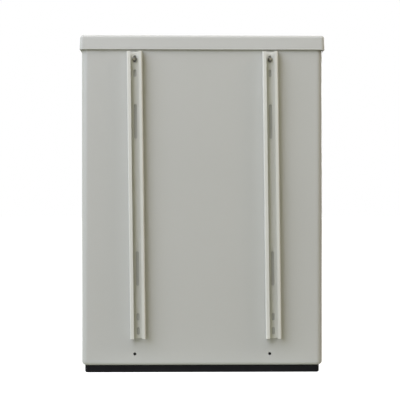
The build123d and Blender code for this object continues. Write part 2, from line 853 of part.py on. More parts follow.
def lock_spindle():
    """Spindle from the handle through the door to the pinion, with a tail that runs in the case's cover."""
    pinion_front = rod_front - pinion_extra_width
    pinion_rear = rod_rear + pinion_extra_width
    start = escutcheon_front - handle_socket_depth
    shaft = rod_y(spindle_radius, lock_x, lock_z, start, pinion_front)
    pinion = along_y(Pos(lock_x, lock_z) * pinion_outline(), pinion_front, pinion_rear)
    tail = rod_y(spindle_tail_radius, lock_x, lock_z, pinion_rear, case_rear)
    return shaft + pinion + tail


def lock_case():
    """Die-cast case on the inside of the door that guides both racks, with ears for its screws."""
    outline = RectangleRounded(2 * case_half_width, 2 * case_half_height, case_corner_radius)
    cover_seat = case_rear - case_cover
    case = along_y(Pos(lock_x, lock_z) * outline, door_inside, cover_seat)
    cavity = Rectangle(2 * (case_half_width - case_wall), 2 * (case_half_height - case_wall))
    case -= along_y(Pos(lock_x, lock_z) * cavity, door_inside + case_wall, cover_seat + overrun)
    ears = RectangleRounded(case_ear_width, 2 * (case_half_height + case_ear_length), case_corner_radius)
    case += along_y(Pos(lock_x, lock_z) * ears, door_inside, door_inside + case_wall)
    for x, z in cover_screw_places:
        case += rod_y(case_boss_radius, x, z, door_inside + case_wall / 2, cover_seat)
        case -= rod_y(screw_bite_radius, x, z, cover_seat - screw_length, cover_seat + overrun)
    near = door_inside - overrun
    far = door_inside + overrun
    for x, z in ear_screw_places:
        case -= rod_y(screw_hole_radius, x, z, near, far)
    for side in (-1, 1):
        case -= rod_passage(side, lock_z + side * (case_half_height - case_wall / 2), 2 * case_wall)
    case -= rod_y(spindle_radius + running_clearance, lock_x, lock_z, near, far)
    case -= rod_y(key_cylinder_radius + sliding_clearance, lock_x, key_z, near, far)
    return case


def rod_passage(side, z, height):
    """The clear way of one locking rod past a height (side 1 is the upper rod, -1 the lower one)."""
    near = lock_x + side * (rod_inner - sliding_clearance)
    far = lock_x + side * (rod_outer + sliding_clearance)
    return block(
        sorted((near, far)),
        (rod_front - sliding_clearance, rod_rear + sliding_clearance),
        (z - height / 2, z + height / 2),
    )


def lock_case_cover():
    """Flat cover on the back of the lock case that carries the spindle's tail."""
    outline = RectangleRounded(2 * case_half_width, 2 * case_half_height, case_corner_radius)
    cover = along_y(Pos(lock_x, lock_z) * outline, case_rear - case_cover, case_rear)
    far = case_rear + overrun
    near = case_rear - case_cover - overrun
    cover -= rod_y(spindle_tail_radius + running_clearance, lock_x, lock_z, near, far)
    for x, z in cover_screw_places:
        cover -= rod_y(screw_hole_radius, x, z, near, far)
    return cover


def lock_screws():
    """Screws of the lock case, its cover and the rod guides, all driven from inside."""
    short = pan_screw(case_wall + inner_bite)
    long = pan_screw(case_cover + screw_length - seat_gap)
    screws = [facing_rear(x, door_inside + case_wall, z) * short for x, z in ear_screw_places]
    screws += [facing_rear(x, case_rear, z) * long for x, z in cover_screw_places]
    screws += [facing_rear(x, door_inside + guide_wall, z) * short for x, z in guide_screw_places]
    return group(screws)


def locking_rod(side):
    """A flat rod with a rack at its inner end and a bevelled tip (side 1 goes up, -1 down)."""
    tail = lock_z - side * rod_tail
    tip = rod_tips[side]
    shoulder = tip - side * rod_tip_bevel
    inner = lock_x + side * rod_inner
    outer = lock_x + side * rod_outer
    corner_points = [
        (inner, tail),
        (outer, tail),
        (outer, shoulder),
        (outer - side * rod_tip_bevel, tip),
        (inner + side * rod_tip_bevel, tip),
        (inner, shoulder),
    ]
    outline = make_face(Polyline(*corner_points, close=True))
    for z in rack_tooth_places(side):
        outline += rack_tooth(side, z)
    return along_y(outline, rod_front, rod_rear)


def rack_tooth_places(side):
    """Tooth centres that the pinion meets over the whole stroke, with a gap facing the pinion at rest."""
    last = math.floor(rack_spare / tooth_pitch)
    first = -math.floor((rod_travel + rack_spare) / tooth_pitch)
    return [lock_z + side * (step + tooth_middle_share) * tooth_pitch for step in range(first, last)]


def rack_tooth(side, z):
    """One straight-sided rack tooth, rooted on the rod's inner edge."""
    slope = math.tan(math.radians(pressure_angle_deg))
    half_pitch_line = tooth_pitch / 4 - tooth_play
    half_root = half_pitch_line + rack_root * slope
    half_tip = half_pitch_line - rack_tip * slope
    root = lock_x + side * rod_inner
    tip = lock_x + side * (pitch_radius - rack_tip)
    points = [(root, z - half_root), (root, z + half_root), (tip, z + half_tip), (tip, z - half_tip)]
    return make_face(Polyline(*points, close=True))


def rod_guide(side):
    """A moulded guide on the door that holds a rod near its tip, open behind its bridge."""
    z = guide_heights[side]
    middle = lock_x + side * (rod_inner + rod_outer) / 2
    half = rod_width / 2 + sliding_clearance + guide_wall
    bridge_rear = rod_rear + sliding_clearance + guide_wall
    bridge_front = rod_front - sliding_clearance - guide_wall
    sides = (middle - half, middle + half)
    guide = block(sides, (door_inside, bridge_rear), (z - guide_height / 2, z + guide_height / 2))
    guide -= block(
        (middle - half + guide_wall, middle + half - guide_wall),
        (door_inside + guide_wall, bridge_front),
        (z - guide_height, z + guide_height),
    )
    guide -= rod_passage(side, z, 2 * guide_height)
    foot_half = guide_height / 2 + guide_ear
    foot_rear = door_inside + guide_wall
    guide += block(sides, (door_inside, foot_rear), (z - foot_half, z + foot_half))
    for x, screw_z in guide_screw_places:
        guide -= rod_y(screw_hole_radius, x, screw_z, door_inside - overrun, foot_rear + overrun)
    return guide


def key_cylinder():
    """Lock cylinder through the escutcheon, bored for its plug."""
    rear = key_face + key_cylinder_length
    cylinder = rod_y(key_cylinder_radius, lock_x, key_z, key_face, rear)
    bore_radius = key_plug_radius + running_clearance
    return cylinder - rod_y(bore_radius, lock_x, key_z, key_face - overrun, rear + overrun)


def key_plug():
    """Turning plug with an upright key slot."""
    plug = rod_y(key_plug_radius, lock_x, key_z, key_face, key_face + key_plug_length)
    slot = Pos(lock_x, key_z) * Rectangle(key_slot_width, key_slot_height)
    return plug - along_y(slot, key_face - overrun, key_face + key_slot_depth)


def key_flap():
    """Weather flap over the key, hanging from its rivet."""
    rear = key_face - seat_gap
    outline = Pos(lock_x, (key_z + flap_pivot_z) / 2) * Rectangle(2 * flap_eye_radius, flap_arm)
    outline += Pos(lock_x, key_z) * Circle(flap_radius)
    outline += Pos(lock_x, flap_pivot_z) * Circle(flap_eye_radius)
    outline -= Pos(lock_x, flap_pivot_z) * Circle(flap_rivet_radius + running_clearance)
    return along_y(outline, rear - flap_thickness, rear)


def flap_rivet():
    """Rivet that the flap swings on."""
    flap_front = key_face - seat_gap - flap_thickness
    head_rear = flap_front - seat_gap
    shank = rod_y(flap_rivet_radius, lock_x, flap_pivot_z, head_rear, front_y)
    head = rod_y(flap_rivet_head_radius, lock_x, flap_pivot_z, head_rear - flap_rivet_head_height, head_rear)
    return shank + head


def document_pocket():
    """Open-topped pocket on the door's ribs with a lowered front."""
    low = door_rib_heights[1] - pocket_overlap
    high = door_rib_heights[2] + pocket_overlap
    middle = (-door_x + field_margin + door_x - field_lock_margin) / 2
    half = pocket_width / 2
    rear = rib_rear + pocket_depth
    pocket = block((middle - half, middle + half), (rib_rear, rear), (low, high))
    pocket -= block(
        (middle - half + pocket_wall, middle + half - pocket_wall),
        (rib_rear + pocket_wall, rear - pocket_wall),
        (low + pocket_wall, high + overrun),
    )
    mouth_low = high - pocket_front_drop
    mouth = window(half - 2 * pocket_wall, mouth_low, high + pocket_front_drop, pocket_notch_radius)
    return pocket - along_y(Pos(middle, 0) * mouth, rear - 2 * pocket_wall, rear + overrun)


def upright(side):
    """Folded C-upright of the equipment frame with a foot at each end and square holes up its front."""
    x = side * upright_spacing / 2
    y = upright_front + upright_depth / 2
    profile = Pos(x, y) * Rectangle(upright_width, upright_depth)
    hollow = Rectangle(upright_width, upright_depth - 2 * upright_sheet)
    profile -= Pos(x + side * upright_sheet, y) * hollow
    post = along_z(profile, floor_top, ceiling)
    foot = Pos(x, y) * RectangleRounded(foot_width, foot_depth, foot_corner_radius)
    post += along_z(foot, floor_top, floor_top + foot_thickness)
    post += along_z(foot, ceiling - foot_thickness, ceiling)
    for bolt_x, bolt_y in foot_bolt_places:
        post -= rod_z(bolt_hole_radius, bolt_x, bolt_y, floor_top - overrun, floor_top + overrun)
        post -= rod_z(bolt_hole_radius, bolt_x, bolt_y, ceiling - overrun, ceiling + overrun)
    for z in upright_hole_heights:
        hole = Pos(x, z) * Rectangle(upright_hole, upright_hole)
        post -= along_y(hole, upright_front - overrun, upright_front + overrun)
    return post


def equipment_frame_bolts():
    """Bolts through the feet into the floor and the top of the shell."""
    low = hex_bolt(foot_thickness + floor_thickness, floor_thickness)
    high = hex_bolt(foot_thickness + shell_wall, shell_wall)
    bolts = [Pos(x, y, floor_top + foot_thickness) * low for x, y in foot_bolt_places]
    bolts += [Pos(x, y, ceiling - foot_thickness) * Rot(180, 0, 0) * high for x, y in foot_bolt_places]
    return group(bolts)


def crossbar(z_low):
    """Folded channel between the uprights, open to the rear."""
    y = upright_front + crossbar_setback
    half = upright_inside / 2
    bar = block((-half, half), (y, y + crossbar_depth), (z_low, z_low + crossbar_height))
    return bar - block(
        (-half - overrun, half + overrun),
        (y + crossbar_sheet, y + crossbar_depth + overrun),
        (z_low + crossbar_sheet, z_low + crossbar_height - crossbar_sheet),
    )


def adapter_places(z):
    """Adapter centres along one panel."""
    return [(x, z) for x in row(adapters_per_panel, adapter_pitch)]


def adapter_panel(z):
    """Folded panel across the uprights with a cut-out for each adapter."""
    half = upright_spacing / 2 + upright_width / 2
    low = z - panel_height / 2
    high = z + panel_height / 2
    panel = along_y(window(half, low, high, panel_corner_radius), panel_front, upright_front)
    fold_half = upright_inside / 2 - seat_gap
    fold_rear = upright_front + panel_fold
    for edge in (low, high - panel_sheet):
        panel += block((-fold_half, fold_half), (panel_front, fold_rear), (edge, edge + panel_sheet))
    near = panel_front - overrun
    far = upright_front + overrun
    hole = Rectangle(adapter_width + 2 * sliding_clearance, adapter_height + 2 * sliding_clearance)
    for x, hole_z in adapter_places(z):
        panel -= along_y(Pos(x, hole_z) * hole, near, far)
    for side in (-1, 1):
        panel -= rod_y(screw_hole_radius, side * upright_spacing / 2, z, near, far)
    return panel


def fibre_adapter():
    """One adapter, flanged against the panel's front."""
    body = Rectangle(adapter_width, adapter_height)
    flange = Rectangle(adapter_flange_width, adapter_height)
    adapter = along_y(body, panel_front - adapter_front, upright_front + adapter_rear)
    return adapter + along_y(flange, panel_front - adapter_flange_thickness, panel_front)


def fibre_adapters():
    """A row of adapters in each panel."""
    adapter = fibre_adapter()
    return group([Pos(x, 0, z) * adapter for height in panel_heights for x, z in adapter_places(height)])


def adapter_dust_caps():
    """A cap over each adapter's front, as fitted until a fibre is plugged in."""
    outline = Rectangle(adapter_width - 2 * dust_cap_inset, adapter_height - 2 * dust_cap_inset)
    rear = panel_front - adapter_front
    cap = along_y(outline, rear - dust_cap_length, rear)
    return group([Pos(x, 0, z) * cap for height in panel_heights for x, z in adapter_places(height)])


def panel_screws():
    """Screws of the adapter panels, the splice box and the cable bar."""
    sides = row(2, upright_spacing)
    reach = upright_sheet + nut_flange_thickness
    thin = pan_screw(panel_sheet + reach)
    thick = pan_screw(splice_wall + reach)
    screws = [facing_front(x, panel_front, z) * thin for x in sides for z in panel_heights + [cable_bar_z]]
    screws += [facing_front(x, upright_front - splice_wall, splice_z) * thick for x in sides]
    return group(screws)


def cage_nuts():
    """Square nuts in the uprights' holes behind those screws, each with a flange behind the sheet."""
    side = upright_hole - 2 * sliding_clearance
    nut = extrude(Rectangle(side, side), amount=upright_sheet + nut_flange_thickness)
    nut += Pos(0, 0, upright_sheet) * extrude(Rectangle(nut_flange, nut_flange), amount=nut_flange_thickness)
    nut -= extrude(Circle(screw_bite_radius), amount=upright_sheet + nut_flange_thickness)
    heights = panel_heights + [splice_z, cable_bar_z]
    places = [(x, z) for x in row(2, upright_spacing) for z in heights]
    return group([facing_rear(x, upright_front, z) * nut for x, z in places])


def splice_shell(y_front, y_rear):
    """A rounded block over the splice box's outline."""
    half = splice_width / 2
    outline = window(half, splice_z - splice_height / 2, splice_z + splice_height / 2, splice_corner_radius)
    return along_y(outline, y_front, y_rear)


def splice_hollow(y_front, y_rear):
    """The hollow inside the splice box's walls."""
    half = splice_width / 2 - splice_wall
    high = splice_height / 2 - splice_wall
    outline = window(half, splice_z - high, splice_z + high, splice_corner_radius - splice_wall)
    return along_y(outline, y_front, y_rear)


def splice_box_base():
    """Moulded box across the uprights, open at the front, with an ear at each side."""
    base = splice_shell(splice_joint, upright_front)
    half = upright_spacing / 2 + upright_width / 2
    ears = window(half, splice_z - splice_ear / 2, splice_z + splice_ear / 2, panel_corner_radius)
    base += along_y(ears, upright_front - splice_wall, upright_front)
    base -= splice_hollow(splice_joint - overrun, upright_front - splice_wall)
    for side in (-1, 1):
        x = side * upright_spacing / 2
        base -= rod_y(screw_hole_radius, x, splice_z, upright_front - overrun, upright_front + overrun)
    return base


def splice_box_lid():
    """Shallow lid on the front of the splice box."""
    lid = splice_shell(splice_joint - splice_lid_depth, splice_joint)
    lid = fillet(lid.edges().group_by(Axis.Y)[0], splice_lid_radius)
    return lid - splice_hollow(splice_joint - splice_lid_depth + splice_wall, splice_joint + overrun)


def cable_bar():
    """Bar across the uprights with a row of narrow slots for cable ties."""
    half = upright_spacing / 2 + upright_width / 2
    low = cable_bar_z - cable_bar_height / 2
    high = cable_bar_z + cable_bar_height / 2
    bar = along_y(window(half, low, high, panel_corner_radius), panel_front, upright_front)
    for x in row(tie_slots, tie_slot_pitch):
        slot = Pos(x, cable_bar_z) * SlotOverall(tie_slot_length, tie_slot_width, rotation=90)
        bar -= along_y(slot, panel_front - overrun, upright_front + overrun)
    for side in (-1, 1):
        x = side * upright_spacing / 2
        bar -= rod_y(screw_hole_radius, x, cable_bar_z, panel_front - overrun, upright_front + overrun)
    return bar


def earth_bar():
    """Copper bar in front of the lower crossbar, drilled for its screws."""
    low = earth_z - earth_bar_height / 2
    high = earth_z + earth_bar_height / 2
    half = earth_bar_length / 2
    bar = block((-half, half), (earth_front, earth_front + earth_bar_thickness), (low, high))
    for x in earth_screw_places:
        bar -= rod_y(screw_hole_radius, x, earth_z, earth_front - overrun, earth_front + overrun)
    return bar


def earth_insulators():
    """Waisted standoffs between the lower crossbar and the earth bar."""
    length = earth_insulator_length
    waist_low = (length - earth_insulator_waist_length) / 2
    waist_high = (length + earth_insulator_waist_length) / 2
    profile = [
        (0, 0),
        (earth_insulator_radius, 0),
        (earth_insulator_radius, waist_low),
        (earth_insulator_waist, length / 2),
        (earth_insulator_radius, waist_high),
        (earth_insulator_radius, length),
        (0, length),
    ]
    turned = revolve(Plane.XZ * make_face(Polyline(*profile, close=True)), Axis.Z)
    turned -= rod_z(screw_bite_radius, 0, 0, length - screw_length, length + overrun)
    seat = upright_front + crossbar_setback
    return group([facing_front(x, seat, earth_z) * turned for x in row(2, earth_insulator_spread)])


def earth_screws():
    """Clamping screws along the earth bar and one into each insulator."""
    screw = pan_screw(earth_bar_thickness + inner_bite)
    return group([facing_front(x, earth_front, earth_z) * screw for x in earth_screw_places])


def gland_plate():
    """Plate over the cable entry in the floor."""
    plate = RectangleRounded(gland_width, gland_depth, gland_corner_radius)
    for x in row(grommet_count, grommet_pitch):
        plate -= Pos(x, 0) * Circle(grommet_hole_radius)
    for x, y in gland_screw_places:
        plate -= Pos(x, y) * Circle(screw_hole_radius)
    return along_z(plate, floor_top, floor_top + gland_thickness)


def gland_plate_screws():
    """Screws round the gland plate."""
    screw = pan_screw(gland_thickness + floor_thickness)
    return group([Pos(x, y, floor_top + gland_thickness) * screw for x, y in gland_screw_places])


def cable_grommets():
    """Stepped rubber cones, closed until they are cut to a cable, gripping the plate between two flanges."""
    under = -gland_thickness - seat_gap
    low = under - grommet_flange_height
    neck = grommet_hole_radius - seat_gap
    profile = [(0, grommet_height), (grommet_top_radius, grommet_height)]
    rise = (grommet_height - grommet_flange_height) / grommet_steps
    growth = (neck - grommet_top_radius) / grommet_steps
    for step in range(grommet_steps):
        radius = grommet_top_radius + growth * step
        z = grommet_height - rise * (step + 1)
        profile += [(radius, z), (radius + growth, z)]
    profile += [
        (grommet_flange_radius, grommet_flange_height),
        (grommet_flange_radius, 0),
        (neck, 0),
        (neck, under),
        (grommet_lower_radius, under),
        (grommet_lower_radius, low),
        (neck - grommet_wall, low),
        (neck - grommet_wall, 0),
        (grommet_top_radius - grommet_wall, grommet_height - grommet_wall),
        (0, grommet_height - grommet_wall),
    ]
    turned = revolve(Plane.XZ * make_face(Polyline(*profile, close=True)), Axis.Z)
    return group([Pos(x, 0, floor_top + gland_thickness) * turned for x in row(grommet_count, grommet_pitch)])


pieces = {
    "body_shell": body_shell,
    "roof_cap": roof_cap,
    "roof_cap_bolts": roof_cap_bolts,
    "plinth": plinth,
    "plinth_bolts": plinth_bolts,
    "left_rear_rail": lambda: hung_rail(-1),
    "right_rear_rail": lambda: hung_rail(1),
    "rail_bolts": rail_bolts,
    "rail_washers": rail_washers,
    "rear_inserts": rear_inserts,
    "front_frame": front_frame,
    "door_gasket": door_gasket,
    "door_panel": door_panel,
    "hinge_pins": hinge_pins,
    "hinge_frame_screws": lambda: hinge_screws(-1, hinge_frame_leaf),
    "hinge_door_screws": lambda: hinge_screws(1, hinge_door_leaf),
    "lock_escutcheon": lock_escutcheon,
    "handle": handle,
    "lock_spindle": lock_spindle,
    "lock_case": lock_case,
    "lock_case_cover": lock_case_cover,
    "lock_screws": lock_screws,
    "upper_locking_rod": lambda: locking_rod(1),
    "lower_locking_rod": lambda: locking_rod(-1),
    "upper_rod_guide": lambda: rod_guide(1),
    "lower_rod_guide": lambda: rod_guide(-1),
    "key_cylinder": key_cylinder,
    "key_plug": key_plug,
    "key_flap": key_flap,
    "flap_rivet": flap_rivet,
    "document_pocket": document_pocket,
    "left_upright": lambda: upright(-1),
    "right_upright": lambda: upright(1),
    "equipment_frame_bolts": equipment_frame_bolts,
    "lower_crossbar": lambda: crossbar(floor_top + crossbar_end_inset),
    "upper_crossbar": lambda: crossbar(ceiling - crossbar_end_inset - crossbar_height),
    "fibre_adapters": fibre_adapters,
    "adapter_dust_caps": adapter_dust_caps,
    "panel_screws": panel_screws,
    "cage_nuts": cage_nuts,
    "splice_box_base": splice_box_base,
    "splice_box_lid": splice_box_lid,
    "cable_bar": cable_bar,
    "earth_bar": earth_bar,
    "earth_insulators": earth_insulators,
    "earth_screws": earth_screws,
    "gland_plate": gland_plate,
    "gland_plate_screws": gland_plate_screws,
    "cable_grommets": cable_grommets,
}
for place, height in hinge_places.items():
    pieces[f"{place}_hinge_frame_leaf"] = lambda z=height: hinge_frame_leaf_at(z)
    pieces[f"{place}_hinge_door_leaf"] = lambda z=height: hinge_door_leaf_at(z)
for number, height in enumerate(panel_heights, start=1):
    pieces[f"adapter_panel_{number}"] = lambda z=height: adapter_panel(z)

os.makedirs("parts", exist_ok=True)
for name, make in pieces.items():
    export_step(make(), f"parts/{name}.step")
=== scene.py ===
"""Finishes, fine fasteners and studio of a moulded roadside utility cabinet."""

import math

import bpy
import numpy as np
from bpy.props import FloatProperty, FloatVectorProperty, PointerProperty
from bpy.types import NodeSocket, Operator, Panel, PropertyGroup
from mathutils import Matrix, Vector


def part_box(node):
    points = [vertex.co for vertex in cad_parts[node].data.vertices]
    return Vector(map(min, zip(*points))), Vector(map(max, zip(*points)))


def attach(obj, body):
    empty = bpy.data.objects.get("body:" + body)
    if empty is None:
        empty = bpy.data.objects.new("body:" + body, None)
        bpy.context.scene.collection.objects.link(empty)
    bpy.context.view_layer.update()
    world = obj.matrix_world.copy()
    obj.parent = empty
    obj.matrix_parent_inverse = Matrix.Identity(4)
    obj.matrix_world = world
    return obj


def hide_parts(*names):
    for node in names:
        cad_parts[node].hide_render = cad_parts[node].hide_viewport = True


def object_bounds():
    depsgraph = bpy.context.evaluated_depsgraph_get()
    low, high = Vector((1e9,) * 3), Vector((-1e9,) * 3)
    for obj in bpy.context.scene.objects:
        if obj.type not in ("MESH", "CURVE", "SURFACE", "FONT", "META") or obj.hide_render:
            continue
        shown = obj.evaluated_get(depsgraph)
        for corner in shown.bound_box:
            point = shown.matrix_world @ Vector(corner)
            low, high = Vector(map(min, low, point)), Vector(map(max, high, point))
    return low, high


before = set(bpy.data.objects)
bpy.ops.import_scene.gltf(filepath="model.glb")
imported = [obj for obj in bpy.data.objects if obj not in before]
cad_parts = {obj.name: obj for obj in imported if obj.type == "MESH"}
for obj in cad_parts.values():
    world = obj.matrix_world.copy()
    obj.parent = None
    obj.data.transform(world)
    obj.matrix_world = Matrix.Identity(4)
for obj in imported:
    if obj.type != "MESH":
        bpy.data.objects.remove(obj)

bl_info = {
    "name": "Roadside utility cabinet",
    "version": (1, 0, 0),
    "blender": (4, 5, 0),
    "location": "3D View > Sidebar > Cabinet",
    "description": "Finishes, fine fasteners and studio of a moulded roadside utility cabinet",
    "category": "Object",
}

CAD_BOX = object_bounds()
# Faces that meet at more than this angle keep a sharp edge
SHARP_ANGLE = math.radians(32)
# Decimals of a metre to which corners at one place agree
PLACE_DIGITS = 6

# Points round a bolt head, a screw, a split washer, its section and a dust cap
HEAD_SIDES = 72
SCREW_SIDES = 48
RING_SIDES = 64
RING_SECTION_SIDES = 24
CAP_SIDES = 32
# Points along a knurl, a pitch of thread, a screw's dome, and the seal's corners and bulb
KNURL_STEPS = 4
THREAD_STEPS = 8
DOME_STEPS = 7
SEAL_CORNER_STEPS = 12
SEAL_BULB_STEPS = 15

TO_DOOR = (0, -1, 0)
TO_REAR = (0, 1, 0)
UPWARDS = (0, 0, 1)
SIDEWAYS = (1, 0, 0)
# An axis with a larger Z than this counts as upright
NEARLY_UPRIGHT = 0.9

# Roughness of noise, and the stretch of its values that a pattern uses
NOISE_ROUGHNESS = 0.55
NOISE_START = 0.3
NOISE_END = 0.7

# Waves in a metre along each axis of fine brushed lines
ALONG_X = (8.0, 900.0, 900.0)
ALONG_Z = (900.0, 900.0, 8.0)

# Sockets of the node that mixes two colours
MIX_FACTOR = 0
MIX_FIRST = 6
MIX_SECOND = 7
MIX_RESULT = 2
WHITE = (1.0, 1.0, 1.0, 1.0)

# Where the fill changes, as shares of a direction's X and Z
FILL_SPREAD_SHARE = 0.8
FILL_DIM_SHARE = -0.3
BOUNCE_EDGE_SHARE = -0.45
STRAIGHT_DOWN = -1.0

KEY_TINT = (0.765, 0.785, 0.975)
# The other softboxes: name, setting of the power, place, side and tint
SOFTBOXES = (
    ("front_softbox", "front_power", (-0.13, 7.0, 1.83), 1.8, (1.0, 0.96, 0.74)),
    ("rim_softbox", "rim_power", (-5.0, 1.7, 4.2), 2.0, (1.0, 0.9, 0.78)),
    ("top_softbox", "top_power", (0.3, 0.6, 6.0), 5.0, (1.0, 1.0, 1.0)),
    ("door_softbox", "door_power", (-4.2, -6.0, 2.6), 3.6, (0.9, 0.93, 1.0)),
)
# The strip of light on the floor behind the rear wall
STRIP_GAP = 0.03
STRIP_HEIGHT = 0.002
STRIP_LENGTH = 0.72
STRIP_DEPTH = 0.04
STRIP_TINT = (0.8, 0.9, 1.0)
# Width of the camera's sensor in millimetres
SENSOR_WIDTH = 36.0


# Properties that a user may change


def colour(name, description, value):
    """A colour that the user may change."""
    return FloatVectorProperty(
        name=name, description=description, subtype="COLOR", size=3, min=0.0, max=1.0, default=value
    )


def length(name, description, value):
    """A length in metres that the user may change."""
    return FloatProperty(
        name=name, description=description, unit="LENGTH", min=0.0, precision=5, default=value
    )


def angle(name, description, degrees):
    """An angle that the user may change."""
    return FloatProperty(
        name=name, description=description, subtype="ANGLE", default=math.radians(degrees)
    )


def power(name, description, value):
    """A light's power in watts that the user may change."""
    return FloatProperty(name=name, description=description, unit="POWER", min=0.0, default=value)


def factor(name, description, value):
    """A factor of light that the user may change."""
    return FloatProperty(name=name, description=description, min=0.0, default=value)


class CabinetFinish(PropertyGroup):
    """Colours of the cabinet's finishes."""

    moulding: colour("Moulding", "Composite of the shell, frame and door", (0.455, 0.458, 0.425))
    cap: colour("Rain cap", "Composite of the rain cap", (0.475, 0.478, 0.445))
    plinth: colour("Plinth", "Matt black of the plinth", (0.0045, 0.0044, 0.005))
    rail: colour("Rails", "Powder coat of the rear rails", (0.6, 0.6, 0.545))
    zinc: colour("Zinc", "Plating of the plinth, cap and frame bolts", (0.36, 0.355, 0.34))
    rod: colour("Locking rods", "Bright plating of the spindle and rods", (0.468, 0.4615, 0.442))
    # Near-black: blackened steel, darkened further as painted shade so the holes in the rear wall
    # read dark
    insert: colour("Inserts", "Near-black tapped inserts, partly painted shade of the holes", (0.03, 0.029, 0.028))
    # Rail bolts and washers have a dark plating, far darker than the zinc above
    rail_bolt: colour("Rail bolts", "Dark plated bolts and their washers", (0.115, 0.113, 0.107))
    stainless: colour("Stainless", "Brushed hinges and screws", (0.36, 0.358, 0.35))
    lock_black: colour("Lock black", "Coat of the handle and escutcheon", (0.022, 0.022, 0.024))
    nickel: colour("Nickel", "Plating of the key cylinder and rivet", (0.68, 0.67, 0.65))
    die_cast: colour("Die cast", "Grey casting of the lock case", (0.36, 0.365, 0.37))
    galvanised: colour("Galvanised", "Zinc spangle of the equipment frame", (0.56, 0.57, 0.575))
    panel: colour("Panels", "Powder coat of the adapter panels", (0.52, 0.53, 0.53))
    adapter: colour("Adapters", "Green housings of the fibre adapters", (0.035, 0.27, 0.1))
    dust_cap: colour("Dust caps", "Milky plastic of the dust caps", (0.76, 0.77, 0.75))
    splice: colour("Splice box", "Grey plastic of the splice box", (0.36, 0.37, 0.375))
    pocket: colour("Document pocket", "Pale plastic of the document pocket", (0.58, 0.585, 0.57))
    nylon: colour("Nylon", "Black nylon of the rod guides", (0.03, 0.03, 0.032))
    copper: colour("Copper", "Bare copper of the earth bar", (0.72, 0.35, 0.2))
    copper_dark: colour("Dark copper", "Copper that handling has darkened", (0.34, 0.15, 0.085))
    insulator: colour("Insulators", "Red-brown moulded insulators", (0.3, 0.035, 0.022))
    aluminium: colour("Aluminium", "Mill finish of the gland plate", (0.68, 0.685, 0.69))
    rubber: colour("Rubber", "Seal and cable grommets", (0.022, 0.022, 0.023))


class CabinetSizes(PropertyGroup):
    """Sizes of the fine fasteners and seals."""

    hex_width: length("Hexagon width", "Bolt head across its flats", 0.013)
    hex_height: length("Hexagon height", "Height of a bolt head", 0.0053)
    bolt_shank: length("Bolt shank", "Radius of a rail bolt's plain shank", 0.00395)
    bolt_thread: length("Bolt thread", "Radius of a rail bolt's threaded stretch", 0.00335)
    washer_bore: length("Washer bore", "Inner radius of a spring washer", 0.0042)
    washer_split: angle("Washer split", "Open angle of a spring washer", 9)
    screw_radius: length("Screw head radius", "Radius of a pan head", 0.0046)
    screw_height: length("Screw head height", "Height of a pan head", 0.0026)
    shank_radius: length("Screw shank radius", "Radius of a screw's shank", 0.0024)
    recess_radius: length("Recess radius", "Middle radius of the six-lobe recess", 0.00215)
    recess_depth: length("Recess depth", "Depth of the six-lobe recess", 0.0015)
    thread_pitch: length("Thread pitch", "Pitch of the inserts' thread", 0.00125)
    thread_depth: length("Thread depth", "Depth of the inserts' thread", 0.0006)
    insert_bore: length("Insert bore", "Crest radius of the inserts' thread", 0.0034)
    insert_barrel: length("Insert barrel", "Outer radius of the inserts' barrel", 0.007)
    insert_flange: length("Insert flange", "Thickness of the inserts' flange", 0.0025)
    seal_width: length("Seal width", "Width of the door seal", 0.011)
    seal_corner: length("Seal corner", "Outer corner radius of the door seal", 0.012)


class CabinetStage(PropertyGroup):
    """Camera, floor and lights."""

    camera_distance: length("Camera distance", "Camera to the rear wall", 3.5)
    camera_height: length("Camera height", "Camera above the ground", 0.5375)
    camera_turn: angle("Camera turn", "Camera's angle to the side of the rear wall's normal", 1)
    camera_side: length("Camera side", "Mid-picture, left of the rear wall's middle", 0.0073)
    view_width: length("View width", "Width seen at the rear wall", 1.2444)
    floor_size: length("Floor size", "Side of the square floor", 60.0)
    floor_colour: colour("Floor", "Pale floor", (0.35, 0.35, 0.35))
    floor_glow: factor("Floor glow", "Own light of the floor", 1.0)
    fill_cool: colour("Cool fill", "Surroundings on the key light's side", (0.55, 0.58, 0.44))
    fill_warm: colour("Warm fill", "Surroundings on the far side", (0.12, 0.08, 0.015))
    fill_low: factor("Low fill", "Share of the fill below", 0.7)
    fill_high: factor("High fill", "Share of the fill overhead", 1.0)
    floor_bounce: factor("Floor bounce", "Share of the fill added straight below", 1.0)
    key_power: power("Key power", "Softbox beside the camera", 820.0)
    key_angle: angle("Key angle", "Softbox's angle to the side of the rear wall's normal", 45)
    key_rise: angle("Key rise", "Softbox's angle above the horizon", 36)
    key_distance: length("Key distance", "Softbox to the cabinet", 8.0)
    key_size: length("Key size", "Side of the softbox", 7.5)
    front_power: power("Front power", "Softbox above and behind the camera", 28.0)
    rim_power: power("Rim power", "Warm softbox on the far side", 105.0)
    top_power: power("Top power", "Softbox overhead", 145.0)
    door_power: power("Door power", "Softbox in front of the door", 460.0)
    strip_power: power("Strip power", "Floor's light at the rear wall's foot", 0.06)


# Surfaces and pieces


def surface(points, wrap_rows=False):
    """A grid of points (rows, sides, 3) closed round its sides. Quads join neighbours; the rows
    wrap round as well, or else a flat face closes each end."""
    rows, sides = points.shape[:2]
    here = np.arange(rows * sides).reshape(rows, sides)
    ahead = np.roll(here, -1, axis=1)
    quads = np.stack([here, ahead, np.roll(ahead, -1, axis=0), np.roll(here, -1, axis=0)], axis=-1)
    if wrap_rows:
        return points.reshape(-1, 3), quads.reshape(-1, 4)
    return points.reshape(-1, 3), quads[:-1].reshape(-1, 4), np.stack([here[0, ::-1], here[-1]])


def side_angles(sides):
    """The angle of each side of a turned surface: a = 2 pi j / sides."""
    return np.arange(sides) * (2 * math.pi / sides)


